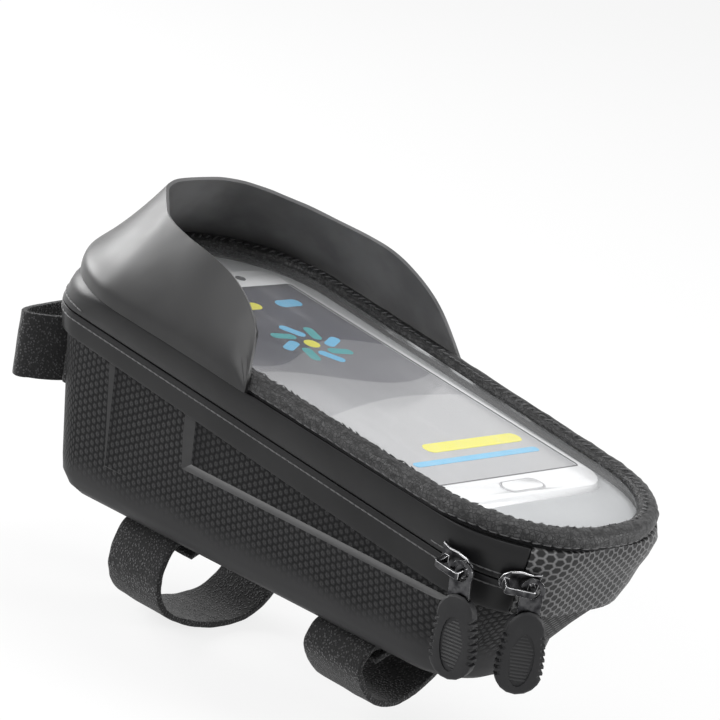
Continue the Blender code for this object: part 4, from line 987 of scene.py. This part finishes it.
# %% Blank glowing shapes on the screen
PLATE_RISE = 0.12 * MM
for title, x, y, width, length, colour in (
        ("top_bar_long", -9, 54, 32, 4.6, "yellow"), ("top_bar_short", 19, 54, 10, 4.6, "sky"),
        ("low_bar_long", 6, -37, 40, 5.0, "yellow"), ("low_bar_thin", 0, -44.5, 52, 2.6, "sky")):
    lid_plate(title, x * MM, y * MM, width * MM, length * MM, min(length, width) * 0.48 * MM,
              PLATE_RISE, GLOWS[colour], sink=PLATE_RISE)
PETALS = 8
PETAL_REACH = 8.6 * MM
PINWHEEL = Vector((4.0, 28.0)) * MM
for k in range(PETALS):
    turn = 2 * math.pi * k / PETALS
    spot = PINWHEEL + Vector((-math.sin(turn), math.cos(turn))) * PETAL_REACH
    lid_plate(f"pinwheel_petal_{k}", spot.x, spot.y, 3.4 * MM, 8.4 * MM, 1.6 * MM, PLATE_RISE,
              GLOWS["teal" if k % 2 else "sky"], turn=turn + 0.5, sink=PLATE_RISE)
lid_plate("pinwheel_middle", PINWHEEL.x, PINWHEEL.y, 5 * MM, 5 * MM, 2.4 * MM, PLATE_RISE,
          GLOWS["yellow"], sink=PLATE_RISE)
print("pinwheel of", PETALS, "petals")

# %% [markdown]
# ## Floor, light and background
#
# Black things are drawn by what they reflect. A soft light on the left gives the visor and the side
# their long highlights, one behind the head end draws the visor's outer curve, one by the nose lights
# the honeycomb, and one overhead keeps the phone white. A pale surround fills the rest. The camera,
# gloss and clear film all see the surround as white. The floor is mostly plain white where the camera
# sees it, also through the film, and the rest of its brightness is lit, so the bag's shadow stays.

# %% Floor and world
FLOOR_WHITE = 0.8
DIM, BRIGHT = 0.5, 1.0
bpy.ops.mesh.primitive_plane_add(size=6, location=(0, 0, CAD_BOX[0][2] - 0.2 * MM))
floor = bpy.context.object
floor.name = "studio_floor"
FLOOR, tree, shader = blank("pale studio floor", (0.86, 0.86, 0.86), 0.9)
shader.inputs["Specular IOR Level"].default_value = 0.0
path = node(tree, "ShaderNodeLightPath")
seen = math_node(tree, "MAXIMUM", path.outputs["Is Camera Ray"], path.outputs["Is Transmission Ray"])
white = node(tree, "ShaderNodeEmission", None, {"Color": (1, 1, 1, 1), "Strength": 1.0}).outputs[0]
mix = node(tree, "ShaderNodeMixShader", None, {0: math_node(tree, "MULTIPLY", seen, FLOOR_WHITE)})
tree.links.new(shader.outputs[0], mix.inputs[1])
tree.links.new(white, mix.inputs[2])
tree.links.new(mix.outputs[0], tree.nodes["Material Output"].inputs[0])
floor.data.materials.append(FLOOR)

world = bpy.data.worlds.new("pale surround")
bpy.context.scene.world = world
world.use_nodes = True
tree = world.node_tree
path = node(tree, "ShaderNodeLightPath")
mirrored = math_node(tree, "MAXIMUM", path.outputs["Is Glossy Ray"], path.outputs["Is Transmission Ray"])
clear = math_node(tree, "MAXIMUM", path.outputs["Is Camera Ray"], mirrored)
strength = math_node(tree, "ADD", math_node(tree, "MULTIPLY", clear, BRIGHT - DIM), DIM)
background = tree.nodes["Background"]
background.inputs["Color"].default_value = (1, 1, 1, 1)
tree.links.new(strength, background.inputs["Strength"])
print("floor at", round(floor.location.z / MM, 1), "mm")


# %% Soft lights
def soft_light(name, place, aim, size, power):
    bpy.ops.object.light_add(type="AREA", location=place)
    lamp = bpy.context.object
    lamp.name = name
    lamp.data.shape = "RECTANGLE"
    lamp.data.size = size[0]
    lamp.data.size_y = size[1]
    lamp.data.energy = power
    lamp.rotation_euler = (Vector(aim) - Vector(place)).to_track_quat("-Z", "Y").to_euler()
    print(name, power, "W")


soft_light("left key", (-1.05, 0.25, 0.75), (0, 0.03, 0.05), (0.5, 0.5), 7)
soft_light("head strip", (-0.1, 1.15, 0.42), (0, 0.05, 0.07), (0.7, 0.4), 10)
soft_light("nose fill", (0.7, -1.0, 0.35), (0, -0.05, 0.03), (0.4, 0.4), 7)
soft_light("window top", (0.1, -0.2, 1.2), (0, 0.0, 0.06), (0.5, 0.5), 5)

# %% [markdown]
# The plain view transform shows a colour about as it is written.

# %% View settings and finish
bpy.context.scene.view_settings.view_transform = "Standard"
